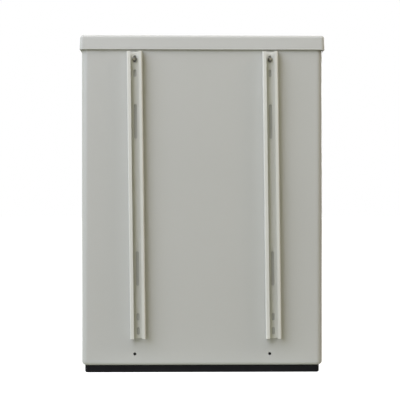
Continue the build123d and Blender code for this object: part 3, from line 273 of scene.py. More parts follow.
def lathe(rows, sides, wrap_rows=False):
    """The turned surface through rows of (radius, height), each a number or an array over the
    sides: point = (radius cos a, radius sin a, height)."""
    turn = side_angles(sides)
    even = np.ones(sides)
    points = [
        np.stack([radius * np.cos(turn), radius * np.sin(turn), height * even], axis=-1)
        for radius, height in rows
    ]
    return surface(np.stack(points), wrap_rows)


def copies(shape, centres, axis):
    """The shape once at each centre: point = centre + x u + y v + z w, where w is the axis and
    u, v, w are square to each other and right-handed."""
    points, *faces = shape
    w = np.array(axis, float)
    u = np.cross(UPWARDS if abs(w[2]) < NEARLY_UPRIGHT else SIDEWAYS, w)
    u /= np.linalg.norm(u)
    basis = np.stack([u, np.cross(w, u), w])
    centres = np.asarray(centres, float)
    placed = centres[:, None, :] + points @ basis
    shift = (np.arange(len(centres)) * len(points))[:, None, None]
    return placed.reshape(-1, 3), *[(shift + group).reshape(-1, group.shape[1]) for group in faces]


def joined(*shapes):
    """Several shapes as one: each one's faces count on from the points before it."""
    starts = np.cumsum([0] + [len(points) for points, *_ in shapes])
    points = np.vstack([shape[0] for shape in shapes])
    return points, *[group + start for start, (_, *faces) in zip(starts, shapes) for group in faces]


def make_piece(name, shape, body, material, replaced):
    """A mesh object at the origin that rides on a body and stands for the replaced nodes."""
    points, *faces = shape
    mesh = bpy.data.meshes.new(name)
    mesh.from_pydata(points.tolist(), [], [face for group in faces for face in group.tolist()])
    mesh.shade_smooth()
    mesh.set_sharp_from_angle(angle=SHARP_ANGLE)
    mesh.materials.append(material)
    piece = bpy.data.objects.new(name, mesh)
    bpy.context.scene.collection.objects.link(piece)
    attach(piece, body)
    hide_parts(*replaced)


def solid_boxes(node):
    """Lowest and highest corners of a node's separate solids, as two arrays. Corners at one place
    or in one triangle take the lowest label among them until no label changes."""
    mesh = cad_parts[node].data
    corners = np.zeros(len(mesh.vertices) * 3, np.float32)
    mesh.vertices.foreach_get("co", corners)
    corners = corners.reshape(-1, 3)
    loops = np.zeros(len(mesh.loops), np.int32)
    mesh.loops.foreach_get("vertex_index", loops)
    _, place = np.unique(np.round(corners, PLACE_DIGITS), axis=0, return_inverse=True)
    triangles = place.reshape(-1)[loops].reshape(-1, 3)
    label = np.arange(triangles.max() + 1)
    settled = np.zeros_like(label)
    while not np.array_equal(settled, label):
        settled = label.copy()
        np.minimum.at(label, triangles.ravel(), np.repeat(label[triangles].min(axis=1), 3))
    solid = label[place.reshape(-1)]
    groups = [corners[solid == number] for number in np.unique(solid)]
    low = np.array([group.min(axis=0) for group in groups])
    high = np.array([group.max(axis=0) for group in groups])
    return low, high


# Shapes of the fasteners, caps and seal


def hex_bolt(sizes, grip, thread):
    """A bolt along z: its head above z = 0, a plain shank down to -grip, and a threaded stretch
    below. The head's radius at angle a is half its width / cos(a - nearest flat), and its corners
    are cut by a cone: height = top - (radius - ring) tan 30. Its top is slightly dished."""
    cone_angle = math.radians(30)
    ring_share = 0.95
    foot_share = 0.6
    seat_share = 0.98
    seat_rise = 0.0001
    tip_share = 0.8
    tip_length_share = 0.3
    dish_edge_share = 0.9
    dish_edge = 0.00012
    dish_floor_share = 0.5
    dish_floor = 0.00022
    flat = sizes.hex_width / 2
    corner = flat / np.cos(side_angles(HEAD_SIDES) % (math.pi / 3) - math.pi / 6)
    ring = flat * ring_share
    cone = (corner - ring) * math.tan(cone_angle)
    top = sizes.hex_height
    end = -grip - thread
    return lathe((
        (sizes.bolt_thread * tip_share, end),
        (sizes.bolt_thread, end + sizes.bolt_thread * tip_length_share),
        (sizes.bolt_thread, -grip),
        (sizes.bolt_shank, -grip),
        (sizes.bolt_shank, 0.0),
        (ring * seat_share, 0.0),
        (ring, seat_rise),
        (corner, cone * foot_share),
        (corner, top - cone),
        (ring, top),
        (ring * dish_edge_share, top - dish_edge),
        (ring * dish_floor_share, top - dish_floor),
    ), HEAD_SIDES)


def spring_washer(outer, bore, split, low, high):
    """A split ring: a rounded square section carried round a circle from split / 2 to 2 pi -
    split / 2. It rises a little from one end to the other, so the ends stand apart."""
    square_power = 0.22
    rise_share = 0.12
    turn = np.linspace(split / 2, 2 * math.pi - split / 2, RING_SIDES)[:, None]
    around = side_angles(RING_SECTION_SIDES)[None, :]
    across = np.sign(np.cos(around)) * np.abs(np.cos(around)) ** square_power
    along = np.sign(np.sin(around)) * np.abs(np.sin(around)) ** square_power
    rise = (high - low) * rise_share
    half_height = (high - low - rise) / 2
    radius = (outer + bore) / 2 + across * (outer - bore) / 2
    height = (low + high) / 2 + along * half_height + rise * (turn / (2 * math.pi) - 0.5)
    points = np.stack([radius * np.cos(turn), radius * np.sin(turn), height], axis=-1)
    return surface(points[::-1])


def pan_screw(sizes, shank_length):
    """A pan-head screw along z, seated on z = 0. The dome is r = rim + (R - rim) cos t, z = edge +
    (h - edge) sin t; the recess is r = r0 (1 + s cos 6a), so it has six lobes. The point's shares
    of the shank's radius are a radius and a height above its end."""
    point_shares = ((0.3, 0.0), (0.8, 0.5), (1.0, 1.4))
    lobe_count = 6
    lobe_share = 0.13
    edge_share = 0.38
    rim_share = 1.12
    seat_share = 0.985
    seat_rise = 0.00008
    rim_round = 0.00012
    wall_foot_share = 0.96
    floor_round = 0.0001
    floor_edge_share = 0.9
    floor_middle_share = 0.3
    floor_dip = 0.0002
    lobes = 1 + lobe_share * np.cos(lobe_count * side_angles(SCREW_SIDES))
    shank = sizes.shank_radius
    top = sizes.screw_height
    edge = top * edge_share
    rim = sizes.recess_radius * rim_share
    wall = sizes.recess_radius * lobes
    floor = top - sizes.recess_depth
    bend = np.linspace(0, math.pi / 2, DOME_STEPS)[:, None]
    dome_radius = rim * lobes + (sizes.screw_radius - rim * lobes) * np.cos(bend)
    dome_height = edge + (top - edge) * np.sin(bend)
    return lathe((
        *((shank * across, -shank_length + shank * above) for across, above in point_shares),
        (shank, 0.0),
        (sizes.screw_radius * seat_share, 0.0),
        (sizes.screw_radius, seat_rise),
        *zip(dome_radius, dome_height),
        (wall, top - rim_round),
        (wall * wall_foot_share, floor + floor_round),
        (wall * floor_edge_share, floor),
        (sizes.recess_radius * floor_middle_share, floor - floor_dip),
    ), SCREW_SIDES)


def threaded_insert(sizes, flange, depth):
    """A knurled barrel with a flange and a tapped bore, from z = -depth to 0. The knurl is
    r = R - k |sin 18a| and the bore r = crest + d |2 frac(z / pitch - a / 2 pi) - 1|, a helix that
    climbs one pitch a turn."""
    knurl_waves = 18
    knurl_depth = 0.0005
    bevel = 0.001
    edge = 0.0003
    thread_end = 0.0004
    mouth_share = 1.3
    turn = side_angles(HEAD_SIDES)
    barrel = sizes.insert_barrel
    step = -sizes.insert_flange
    knurl = barrel - knurl_depth * np.abs(np.sin(knurl_waves * turn))
    rows = int(depth / sizes.thread_pitch * THREAD_STEPS)
    inside = np.linspace(-thread_end, -depth + thread_end, rows)[:, None]
    climb = (inside / sizes.thread_pitch - turn / (2 * math.pi)) % 1.0
    bore = sizes.insert_bore + sizes.thread_depth * np.abs(2 * climb - 1)
    mouth = sizes.insert_bore + sizes.thread_depth * mouth_share
    return lathe((
        (mouth, -depth),
        (barrel - bevel, -depth),
        *((knurl, height) for height in np.linspace(-depth + bevel, step - bevel, KNURL_STEPS)),
        (barrel - knurl_depth, step),
        (flange - edge, step),
        (flange, step + edge),
        (flange, -edge),
        (flange - edge, 0.0),
        (mouth, 0.0),
        *zip(bore, inside),
    ), HEAD_SIDES, wrap_rows=True)


def dust_cap(width, height, depth):
    """A rounded cap along z: |x / a|^5 + |y / b|^5 = 1 round its sides, and along z the whole
    section is scaled by steps for a foot, two grip grooves and a domed nose."""
    corner_power = 2 / 5
    depth_shares = [0.0, 0.04, 0.3, 0.34, 0.42, 0.46, 0.6, 0.64, 0.72, 0.76, 0.88, 0.96, 1.0]
    section_shares = [0.97, 1.0, 1.0, 0.93, 0.93, 0.99, 0.99, 0.92, 0.92, 0.97, 0.95, 0.86, 0.7]
    turn = side_angles(CAP_SIDES)
    x = np.sign(np.cos(turn)) * np.abs(np.cos(turn)) ** corner_power * width / 2
    y = np.sign(np.sin(turn)) * np.abs(np.sin(turn)) ** corner_power * height / 2
    scale = np.array(section_shares)[:, None]
    z = np.array(depth_shares)[:, None] * depth * np.ones_like(turn)
    return surface(np.stack([x * scale, y * scale, z], axis=-1))


def door_seal(low, high, width, corner):
    """A D section carried round a rounded rectangle. The path's point at angle a is the corner's
    centre + r (cos a, sin a). Across the section r shrinks by an inset, and a bulb stands out."""
    foot_share = 0.03
    bulb_power = 0.55
    bulb_share = 0.86
    quarter = np.arange(4)[:, None] * (math.pi / 2)
    turn = (np.linspace(0, math.pi / 2, SEAL_CORNER_STEPS) + quarter).reshape(-1, 1)
    side_x = np.repeat([1, -1, -1, 1], SEAL_CORNER_STEPS)[:, None]
    side_z = np.repeat([1, 1, -1, -1], SEAL_CORNER_STEPS)[:, None]
    half_x = (high[0] - low[0]) / 2 - corner
    half_z = (high[2] - low[2]) / 2 - corner
    depth = high[1] - low[1]
    bulb = np.linspace(0, math.pi, SEAL_BULB_STEPS)
    foot = [width * (1 - foot_share), width * foot_share]
    inset = np.concatenate([width / 2 * (1 - np.cos(bulb)), foot])
    standing = np.sin(bulb) ** bulb_power * depth * bulb_share + depth * (1 - bulb_share)
    proud = np.concatenate([standing, [0.0, 0.0]])
    reach = corner - inset
    x = (low[0] + high[0]) / 2 + side_x * half_x + np.cos(turn) * reach
    z = (low[2] + high[2]) / 2 + side_z * half_z + np.sin(turn) * reach
    y = np.broadcast_to(high[1] - proud, x.shape)
    return surface(np.stack([x, y, z], axis=-1)[::-1], wrap_rows=True)


# Finishes


def add_node(tree, kind, inputs=(), **settings):
    """A new node with its settings, and its inputs by name or number as a value or a link."""
    made = tree.nodes.new(kind)
    for setting, value in settings.items():
        setattr(made, setting, value)
    for socket, value in dict(inputs).items():
        if isinstance(value, NodeSocket):
            tree.links.new(value, made.inputs[socket])
        else:
            made.inputs[socket].default_value = value
    return made


class Finish:
    """A material with one Principled shader. Constants sit on the shader's sockets, and patterns
    on Object coordinates vary its colour, roughness and surface."""

    def __init__(self, name, base, roughness, metallic=0.0, **constants):
        self.material = bpy.data.materials.new(name)
        self.material.use_nodes = True
        self.tree = self.material.node_tree
        self.base = np.array(base[:], float)
        self.shader = self.tree.nodes["Principled BSDF"]
        self.shader.inputs["Base Color"].default_value = (*self.base, 1.0)
        self.shader.inputs["Roughness"].default_value = roughness
        self.shader.inputs["Metallic"].default_value = metallic
        for socket, value in constants.items():
            self.shader.inputs[socket.replace("_", " ")].default_value = value
        self.place = self.node("ShaderNodeTexCoord").outputs["Object"]

    def node(self, kind, inputs=(), **settings):
        """A new node of this material."""
        return add_node(self.tree, kind, inputs, **settings)

    def stretched(self, stretch):
        """Object coordinates scaled along the axes."""
        inputs = {"Vector": self.place, "Scale": stretch}
        return self.node("ShaderNodeMapping", inputs).outputs["Vector"]

    def noise(self, scale, detail=3.0, stretch=None):
        """Soft noise from 0 to 1 with about scale waves in a metre."""
        place = self.stretched(stretch) if stretch else self.place
        inputs = {"Vector": place, "Scale": scale, "Detail": detail, "Roughness": NOISE_ROUGHNESS}
        return self.node("ShaderNodeTexNoise", inputs).outputs["Fac"]

    def crystals(self, scale):
        """Flat random shade for each cell of a Voronoi pattern."""
        inputs = {"Vector": self.place, "Scale": scale}
        return self.node("ShaderNodeTexVoronoi", inputs).outputs["Color"]

    def ranged(self, source, low, high, start, end):
        """The source from start..end stretched to low..high."""
        limits = {"From Min": start, "From Max": end, "To Min": low, "To Max": high}
        return self.node("ShaderNodeMapRange", {"Value": source, **limits}).outputs["Result"]

    def shade(self, source, low, high, start=NOISE_START, end=NOISE_END, other=None):
        """Base colour from low times to high times itself, or towards another colour. What an
        earlier pattern made of the colour is multiplied by from low to high."""
        target = self.shader.inputs["Base Color"]
        earlier = target.links[0].from_socket if target.links else None
        first = np.ones(3) if earlier else self.base
        last = first if other is None else np.array(other)
        colours = {
            MIX_FACTOR: self.ranged(source, 0.0, 1.0, start, end),
            MIX_FIRST: (*(first * low), 1.0),
            MIX_SECOND: (*(last * high), 1.0),
        }
        made = self.node("ShaderNodeMix", colours, data_type="RGBA").outputs[MIX_RESULT]
        if earlier:
            both = {MIX_FACTOR: 1.0, MIX_FIRST: earlier, MIX_SECOND: made}
            blend = self.node("ShaderNodeMix", both, data_type="RGBA", blend_type="MULTIPLY")
            made = blend.outputs[MIX_RESULT]
        self.tree.links.new(made, target)

    def gloss(self, source, low, high, start=NOISE_START, end=NOISE_END):
        """Roughness from low to high by the source."""
        roughness = self.ranged(source, low, high, start, end)
        self.tree.links.new(roughness, self.shader.inputs["Roughness"])

    def relief(self, source, strength, depth):
        """Bump by the source, on top of any bump before it."""
        inputs = {"Strength": strength, "Distance": depth, "Height": source}
        bump = self.node("ShaderNodeBump", inputs)
        linked = self.shader.inputs["Normal"].links
        if linked:
            self.tree.links.new(linked[0].from_socket, bump.inputs["Normal"])
        self.tree.links.new(bump.outputs["Normal"], self.shader.inputs["Normal"])


def moulded_composite(name, base, roughness=0.42):
    """Press-moulded polyester: faint flow clouds, fine fibre speckle and a satin grained skin."""
    made = Finish(name, base, roughness, Specular_IOR_Level=0.42)
    clouds = made.noise(2.3, detail=4.0)
    fibres = made.noise(520.0, detail=2.0)
    satin = made.noise(38.0)
    waves = made.noise(9.0, detail=1.0)
    grain = made.noise(650.0, detail=2.0)
    made.shade(clouds, 0.985, 1.015)
    made.shade(fibres, 0.988, 1.012)
    made.gloss(satin, roughness - 0.02, roughness + 0.06)
    made.relief(waves, strength=0.025, depth=0.004)
    made.relief(grain, strength=0.1, depth=0.00018)
    return made.material


def matt_black(name, base):
    """Matt black moulding with a coarse grain and a breath of grey dust."""
    made = Finish(name, base, roughness=0.62, Specular_IOR_Level=0.1)
    dust = made.noise(6.0, detail=5.0)
    speckle = made.noise(420.0)
    patches = made.noise(60.0)
    grain = made.noise(380.0)
    made.shade(dust, 0.9, 1.5, start=0.35, end=0.7)
    made.shade(speckle, 0.85, 1.2)
    made.gloss(patches, 0.55, 0.7)
    made.relief(grain, strength=0.2, depth=0.0003)
    return made.material


def powder_coat(name, base, roughness=0.38, peel=300.0):
    """Powder coat on sheet steel: orange peel, slight unevenness of tone and gloss."""
    made = Finish(name, base, roughness, Specular_IOR_Level=0.45)
    clouds = made.noise(7.0)
    patches = made.noise(45.0)
    orange_peel = made.noise(peel, detail=1.0)
    grain = made.noise(peel * 4.0)
    made.shade(clouds, 0.975, 1.02)
    made.gloss(patches, roughness - 0.04, roughness + 0.06)
    made.relief(orange_peel, strength=0.14, depth=0.00025)
    made.relief(grain, strength=0.06, depth=0.0001)
    return made.material


def plated(name, base, roughness, stain, brush=None):
    """Plated metal: mottled tone, duller patches, and fine lines where it was brushed."""
    made = Finish(name, base, roughness, metallic=1.0)
    mottle = made.noise(120.0, detail=5.0)
    patches = made.noise(260.0)
    grain = made.noise(900.0)
    made.shade(mottle, stain, 1.12, start=0.35, end=0.65)
    made.gloss(patches, roughness - 0.05, roughness + 0.12)
    if brush:
        lines = made.noise(1.0, detail=2.0, stretch=brush)
        made.shade(lines, 0.88, 1.06)
        made.relief(lines, strength=0.12, depth=0.00006)
    made.relief(grain, strength=0.06, depth=0.00006)
    return made.material


def galvanised_sheet(name, base):
    """Hot-dip galvanised sheet: flat crystals of differing tone and gloss."""
    made = Finish(name, base, roughness=0.4, metallic=0.9)
    spangle = made.crystals(75.0)
    clouds = made.noise(14.0)
    grain = made.noise(500.0)
    made.shade(spangle, 0.8, 1.12, start=0.1, end=0.9)
    made.shade(clouds, 0.92, 1.05)
    made.gloss(spangle, 0.3, 0.5, start=0.1, end=0.9)
    made.relief(grain, strength=0.05, depth=0.0001)
    return made.material


def cast_metal(name, base):
    """Die casting with a fine sand grain and faint flow marks."""
    made = Finish(name, base, roughness=0.5, metallic=0.65)
    flow_marks = made.noise(28.0, detail=5.0)
    patches = made.noise(90.0)
    sand_grain = made.noise(700.0)
    made.shade(flow_marks, 0.9, 1.08)
    made.gloss(patches, 0.42, 0.58)
    made.relief(sand_grain, strength=0.22, depth=0.00016)
    return made.material


def moulded_plastic(name, base, roughness, strength, **constants):
    """Injection-moulded plastic with a spark-eroded grain and faint shade drift."""
    made = Finish(name, base, roughness, **constants)
    drift = made.noise(16.0)
    patches = made.noise(200.0)
    grain = made.noise(900.0, detail=2.0)
    made.shade(drift, 0.96, 1.04)
    made.gloss(patches, roughness - 0.04, roughness + 0.08)
    made.relief(grain, strength=strength, depth=0.00012)
    return made.material


def soft_rubber(name, base):
    """Rubber with a dusty bloom and a fine pebbled skin."""
    made = Finish(name, base, roughness=0.75, Specular_IOR_Level=0.25, Sheen_Weight=0.15)
    bloom = made.noise(40.0, detail=4.0)
    patches = made.noise(300.0)
    pebbles = made.noise(1100.0)
    made.shade(bloom, 0.8, 1.6, start=0.35, end=0.75)
    made.gloss(patches, 0.68, 0.85)
    made.relief(pebbles, strength=0.25, depth=0.0001)
    return made.material


def bare_copper(name, base, dark):
    """Bare copper drawn along its length, darkened by handling in patches."""
    made = Finish(name, base, roughness=0.3, metallic=1.0)
    handling = made.noise(24.0, detail=6.0)
    lines = made.noise(1.0, detail=2.0, stretch=ALONG_X)
    patches = made.noise(30.0, detail=5.0)
    made.shade(handling, 1.0, 1.0, start=0.35, end=0.8, other=dark)
    made.shade(lines, 0.86, 1.06)
    made.gloss(patches, 0.24, 0.46)
    made.relief(lines, strength=0.15, depth=0.00006)
    return made.material


def dress(material, *nodes):
    """Puts a material on the slots of CAD nodes."""
    for node in nodes:
        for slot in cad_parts[node].material_slots:
            slot.material = material


def finish_of(context):
    """The user's colours."""
    return context.scene.cabinet_finish


def sizes_of(context):
    """The user's sizes."""
    return context.scene.cabinet_sizes


def stainless_steel(context):
    """The stainless steel that the screws, cage nuts and hinge pins share."""
    name = "stainless_screw"
    found = bpy.data.materials.get(name)
    return found or plated(name, finish_of(context).stainless, roughness=0.28, stain=0.88)


# Operators


class CABINET_OT_stage(Operator):
    """Make the floor, the surroundings, the softboxes and the camera"""

    bl_idname = "cabinet.stage"
    bl_label = "Stage"

    def execute(self, context):
        stage = context.scene.cabinet_stage
        context.scene.view_settings.view_transform = "Standard"
        self.floor(stage)
        self.surroundings(context.scene, stage)
        self.softboxes(stage)
        self.camera(context.scene, stage)
        return {"FINISHED"}

    def floor(self, stage):
        """A square plane at the ground with a pale colour and a glow of its own."""
        half = stage.floor_size / 2
        corners = np.array([[-1, -1, 0], [1, -1, 0], [1, 1, 0], [-1, 1, 0]]) * half
        mesh = bpy.data.meshes.new("studio_floor")
        mesh.from_pydata(corners.tolist(), [], [[0, 1, 2, 3]])
        made = Finish("studio_floor", stage.floor_colour, roughness=0.9, Specular_IOR_Level=0.0)
        made.shade(made.noise(3.0), 0.99, 1.01)
        made.shader.inputs["Emission Color"].default_value = WHITE
        made.shader.inputs["Emission Strength"].default_value = stage.floor_glow
        mesh.materials.append(made.material)
        floor = bpy.data.objects.new("studio_floor", mesh)
        bpy.context.scene.collection.objects.link(floor)
        floor.visible_diffuse = False

    def surroundings(self, scene, stage):
        """White behind the object, and a fill that goes from warm to cool across the room and from
        dim below the horizon to bright overhead. Straight below it is bright again, as from a pale
        floor."""
        world = bpy.data.worlds.new("studio_surroundings")
        world.use_nodes = True
        scene.world = world
        tree = world.node_tree
        tree.nodes.clear()
        place = add_node(tree, "ShaderNodeTexCoord").outputs["Generated"]
        along = add_node(tree, "ShaderNodeSeparateXYZ", {"Vector": place}).outputs
        across = add_node(tree, "ShaderNodeMapRange", {
            "Value": along["X"], "From Min": -FILL_SPREAD_SHARE, "From Max": FILL_SPREAD_SHARE,
        })
        tone = add_node(tree, "ShaderNodeMix", {
            MIX_FACTOR: across.outputs["Result"],
            MIX_FIRST: (*stage.fill_warm, 1.0),
            MIX_SECOND: (*stage.fill_cool, 1.0),
        }, data_type="RGBA")
        above = add_node(tree, "ShaderNodeMapRange", {
            "Value": along["Z"], "From Min": FILL_DIM_SHARE,
            "To Min": stage.fill_low, "To Max": stage.fill_high,
        })
        below = add_node(tree, "ShaderNodeMapRange", {
            "Value": along["Z"], "From Min": STRAIGHT_DOWN, "From Max": BOUNCE_EDGE_SHARE,
            "To Min": stage.floor_bounce, "To Max": 0.0,
        })
        both = add_node(tree, "ShaderNodeMath", {
            0: above.outputs["Result"], 1: below.outputs["Result"],
        })
        fill = add_node(tree, "ShaderNodeBackground", {
            "Color": tone.outputs[MIX_RESULT], "Strength": both.outputs[0],
        })
        white = add_node(tree, "ShaderNodeBackground", {"Color": WHITE})
        to_camera = add_node(tree, "ShaderNodeLightPath").outputs["Is Camera Ray"]
        seen = add_node(tree, "ShaderNodeMixShader", {
            0: to_camera, 1: fill.outputs[0], 2: white.outputs[0],
        })
        add_node(tree, "ShaderNodeOutputWorld", {"Surface": seen.outputs[0]})

    def softboxes(self, stage):
        """The key beside the camera, one behind it, one on the far side, one overhead, one before
        the door, and a strip on the floor at the rear wall's foot."""
        target = (np.array(CAD_BOX[0]) + np.array(CAD_BOX[1])) / 2
        level = math.cos(stage.key_rise)
        aim = np.array([
            math.sin(stage.key_angle) * level,
            math.cos(stage.key_angle) * level,
            math.sin(stage.key_rise),
        ])
        key_place = target + aim * stage.key_distance
        self.softbox("key_softbox", key_place, target, stage.key_power, stage.key_size, KEY_TINT)
        for name, setting, place, side, tint in SOFTBOXES:
            self.softbox(name, place, target, getattr(stage, setting), side, tint)
        strip = np.array([0.0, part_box("body_shell")[1].y + STRIP_GAP, STRIP_HEIGHT])
        above = strip + UPWARDS
        watts = stage.strip_power
        self.softbox("floor_strip", strip, above, watts, STRIP_LENGTH, STRIP_TINT, STRIP_DEPTH)

    def softbox(self, name, place, target, watts, side, tint, depth=None):
        """A square or oblong area light, turned to the target and hidden from the camera."""
        lamp = bpy.data.lights.new(name, "AREA")
        lamp.energy = watts
        lamp.shape = "RECTANGLE"
        lamp.size = side
        lamp.size_y = depth or side
        lamp.color = tint
        box = bpy.data.objects.new(name, lamp)
        bpy.context.scene.collection.objects.link(box)
        box.location = place
        box.rotation_euler = (box.location - Vector(target)).to_track_quat("Z", "Y").to_euler()
        box.visible_camera = False

    def camera(self, scene, stage):
        """A level camera almost square to the rear wall, as the photograph has it."""
        lens = bpy.data.cameras.new("rear_camera")
        lens.sensor_width = SENSOR_WIDTH
        lens.lens = SENSOR_WIDTH * stage.camera_distance / stage.view_width
        camera = bpy.data.objects.new("rear_camera", lens)
        scene.collection.objects.link(camera)
        across = stage.camera_side + stage.camera_distance * math.sin(stage.camera_turn)
        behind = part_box("body_shell")[1].y + stage.camera_distance * math.cos(stage.camera_turn)
        camera.location = (across, behind, stage.camera_height)
        camera.rotation_euler = (math.radians(90), 0.0, math.pi - stage.camera_turn)
        scene.camera = camera


class CABINET_OT_mouldings(Operator):
    """Finish the moulded shell, front frame, door and rain cap"""

    bl_idname = "cabinet.mouldings"
    bl_label = "Shell, door and rain cap"

    def execute(self, context):
        finish = finish_of(context)
        composite = moulded_composite("shell_composite", finish.moulding)
        dress(composite, "body_shell", "front_frame", "door_panel")
        dress(moulded_composite("cap_composite", finish.cap, roughness=0.66), "roof_cap")
        return {"FINISHED"}


class CABINET_OT_plinth(Operator):
    """Finish the plinth and the bolts of the shell"""

    bl_idname = "cabinet.plinth"
    bl_label = "Plinth"

    def execute(self, context):
        finish = finish_of(context)
        dress(matt_black("plinth_black", finish.plinth), "plinth")
        zinc = plated("zinc_plate", finish.zinc, roughness=0.25, stain=0.7)
        dress(zinc, "plinth_bolts", "roof_cap_bolts", "equipment_frame_bolts")
        return {"FINISHED"}


class CABINET_OT_rear_rails(Operator):
    """Finish the two rear rails"""

    bl_idname = "cabinet.rear_rails"
    bl_label = "Rear rails"

    def execute(self, context):
        coat = powder_coat("rail_coat", finish_of(context).rail)
        dress(coat, "left_rear_rail", "right_rear_rail")
        return {"FINISHED"}


class CABINET_OT_rail_fasteners(Operator):
    """Make the rail bolts with their split washers, and the tapped inserts in the rear wall"""

    bl_idname = "cabinet.rail_fasteners"
    bl_label = "Rail bolts and inserts"

    def execute(self, context):
        sizes = sizes_of(context)
        finish = finish_of(context)
        dark_bolt_plating = plated("rail_bolt_zinc", finish.rail_bolt, roughness=0.18, stain=0.75)
        # The inserts' near-black colour is partly painted shade inside the rear wall's holes
        insert_black_and_shade = plated("insert_steel", finish.insert, roughness=0.6, stain=0.9)
        insert_low, insert_high = solid_boxes("rear_inserts")
        insert_length = insert_high[0, 1] - insert_low[0, 1]
        bolts = self.bolts(sizes, insert_length)
        make_piece("hexagon_rail_bolts", bolts, "cabinet", dark_bolt_plating, ["rail_bolts"])
        washers = self.washers(sizes)
        make_piece(
            "split_rail_washers", washers, "cabinet", dark_bolt_plating, ["rail_washers"]
        )
        centres = (insert_low + insert_high) / 2
        centres[:, 1] = insert_high[:, 1]
        sleeve = threaded_insert(sizes, (insert_high[0, 0] - insert_low[0, 0]) / 2, insert_length)
        inserts = copies(sleeve, centres, TO_REAR)
        make_piece(
            "tapped_inserts", inserts, "cabinet", insert_black_and_shade, ["rear_inserts"]
        )
        return {"FINISHED"}

    def bolts(self, sizes, insert_length):
        """One bolt in each solid's box, threaded over the length of its insert."""
        low, high = solid_boxes("rail_bolts")
        seat = high[0, 1] - sizes.hex_height
        centres = (low + high) / 2
        centres[:, 1] = seat
        grip = seat - low[0, 1] - insert_length
        return copies(hex_bolt(sizes, grip, insert_length), centres, TO_REAR)

    def washers(self, sizes):
        """One split washer in each solid's box."""
        low, high = solid_boxes("rail_washers")
        outer = (high[0, 0] - low[0, 0]) / 2
        half = (high[0, 1] - low[0, 1]) / 2
        ring = spring_washer(outer, sizes.washer_bore, sizes.washer_split, -half, half)
        return copies(ring, (low + high) / 2, TO_REAR)


class CABINET_OT_hinges(Operator):
    """Finish the hinge leaves and pins"""

    bl_idname = "cabinet.hinges"
    bl_label = "Hinges"

    def execute(self, context):
        steel = finish_of(context).stainless
        brushed = plated("hinge_stainless", steel, roughness=0.5, stain=0.95, brush=ALONG_Z)
        for place in ("upper", "middle", "lower"):
            dress(brushed, f"{place}_hinge_frame_leaf", f"{place}_hinge_door_leaf")
        dress(stainless_steel(context), "hinge_pins")
        return {"FINISHED"}


class CABINET_OT_screws(Operator):
    """Make the pan-head screws with six-lobe recesses"""

    bl_idname = "cabinet.screws"
    bl_label = "Screws"

    def execute(self, context):
        sizes = sizes_of(context)
        steel = stainless_steel(context)
        for node, body, axis in (
            ("hinge_frame_screws", "cabinet", TO_DOOR),
            ("hinge_door_screws", "door", TO_DOOR),
            ("lock_screws", "door", TO_REAR),
            ("panel_screws", "cabinet", TO_DOOR),
            ("earth_screws", "cabinet", TO_DOOR),
            ("gland_plate_screws", "cabinet", UPWARDS),
        ):
            screws = self.row(sizes, node, axis)
            make_piece(f"lobed_{node}", screws, body, steel, [node])
        dress(steel, "cage_nuts")
        return {"FINISHED"}

    def row(self, sizes, node, axis):
        """One screw in each solid's box, its head's top on the side that the axis points to."""
        low, high = solid_boxes(node)
        side = int(np.argmax(np.abs(axis)))
        sign = axis[side]
        top = high[:, side] if sign > 0 else low[:, side]
        seat = top - sign * sizes.screw_height
        shank = (high - low)[:, side] - sizes.screw_height
        centres = (low + high) / 2
        centres[:, side] = seat
        return joined(*[
            copies(pan_screw(sizes, reach), [centre], axis) for centre, reach in zip(centres, shank)
        ])


class CABINET_OT_lock(Operator):
    """Finish the handle, escutcheon, key parts, lock case and locking rods"""

    bl_idname = "cabinet.lock"
    bl_label = "Lock"

    def execute(self, context):
        finish = finish_of(context)
        coat = powder_coat("lock_coat", finish.lock_black, roughness=0.42, peel=700.0)
        dress(coat, "lock_escutcheon", "handle", "key_flap")
        nickel = plated("lock_nickel", finish.nickel, roughness=0.2, stain=0.92)
        dress(nickel, "key_cylinder", "key_plug", "flap_rivet")
        dress(cast_metal("lock_casting", finish.die_cast), "lock_case", "lock_case_cover")
        rods = plated("rod_zinc", finish.rod, roughness=0.32, stain=0.8, brush=ALONG_Z)
        dress(rods, "lock_spindle", "upper_locking_rod", "lower_locking_rod")
        nylon = moulded_plastic("guide_nylon", finish.nylon, roughness=0.5, strength=0.12)
        dress(nylon, "upper_rod_guide", "lower_rod_guide")
        return {"FINISHED"}


class CABINET_OT_door_inside(Operator):
    """Make the bulb seal round the door opening and finish the document pocket"""

    bl_idname = "cabinet.door_inside"
    bl_label = "Door seal and pocket"

    def execute(self, context):
        finish = finish_of(context)
        sizes = sizes_of(context)
        low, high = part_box("door_gasket")
        seal = door_seal(low, high, sizes.seal_width, sizes.seal_corner)
        rubber = soft_rubber("seal_rubber", finish.rubber)
        make_piece("bulb_seal", seal, "cabinet", rubber, ["door_gasket"])
        pale = moulded_plastic("pocket_plastic", finish.pocket, roughness=0.36, strength=0.1)
        dress(pale, "document_pocket")
        return {"FINISHED"}


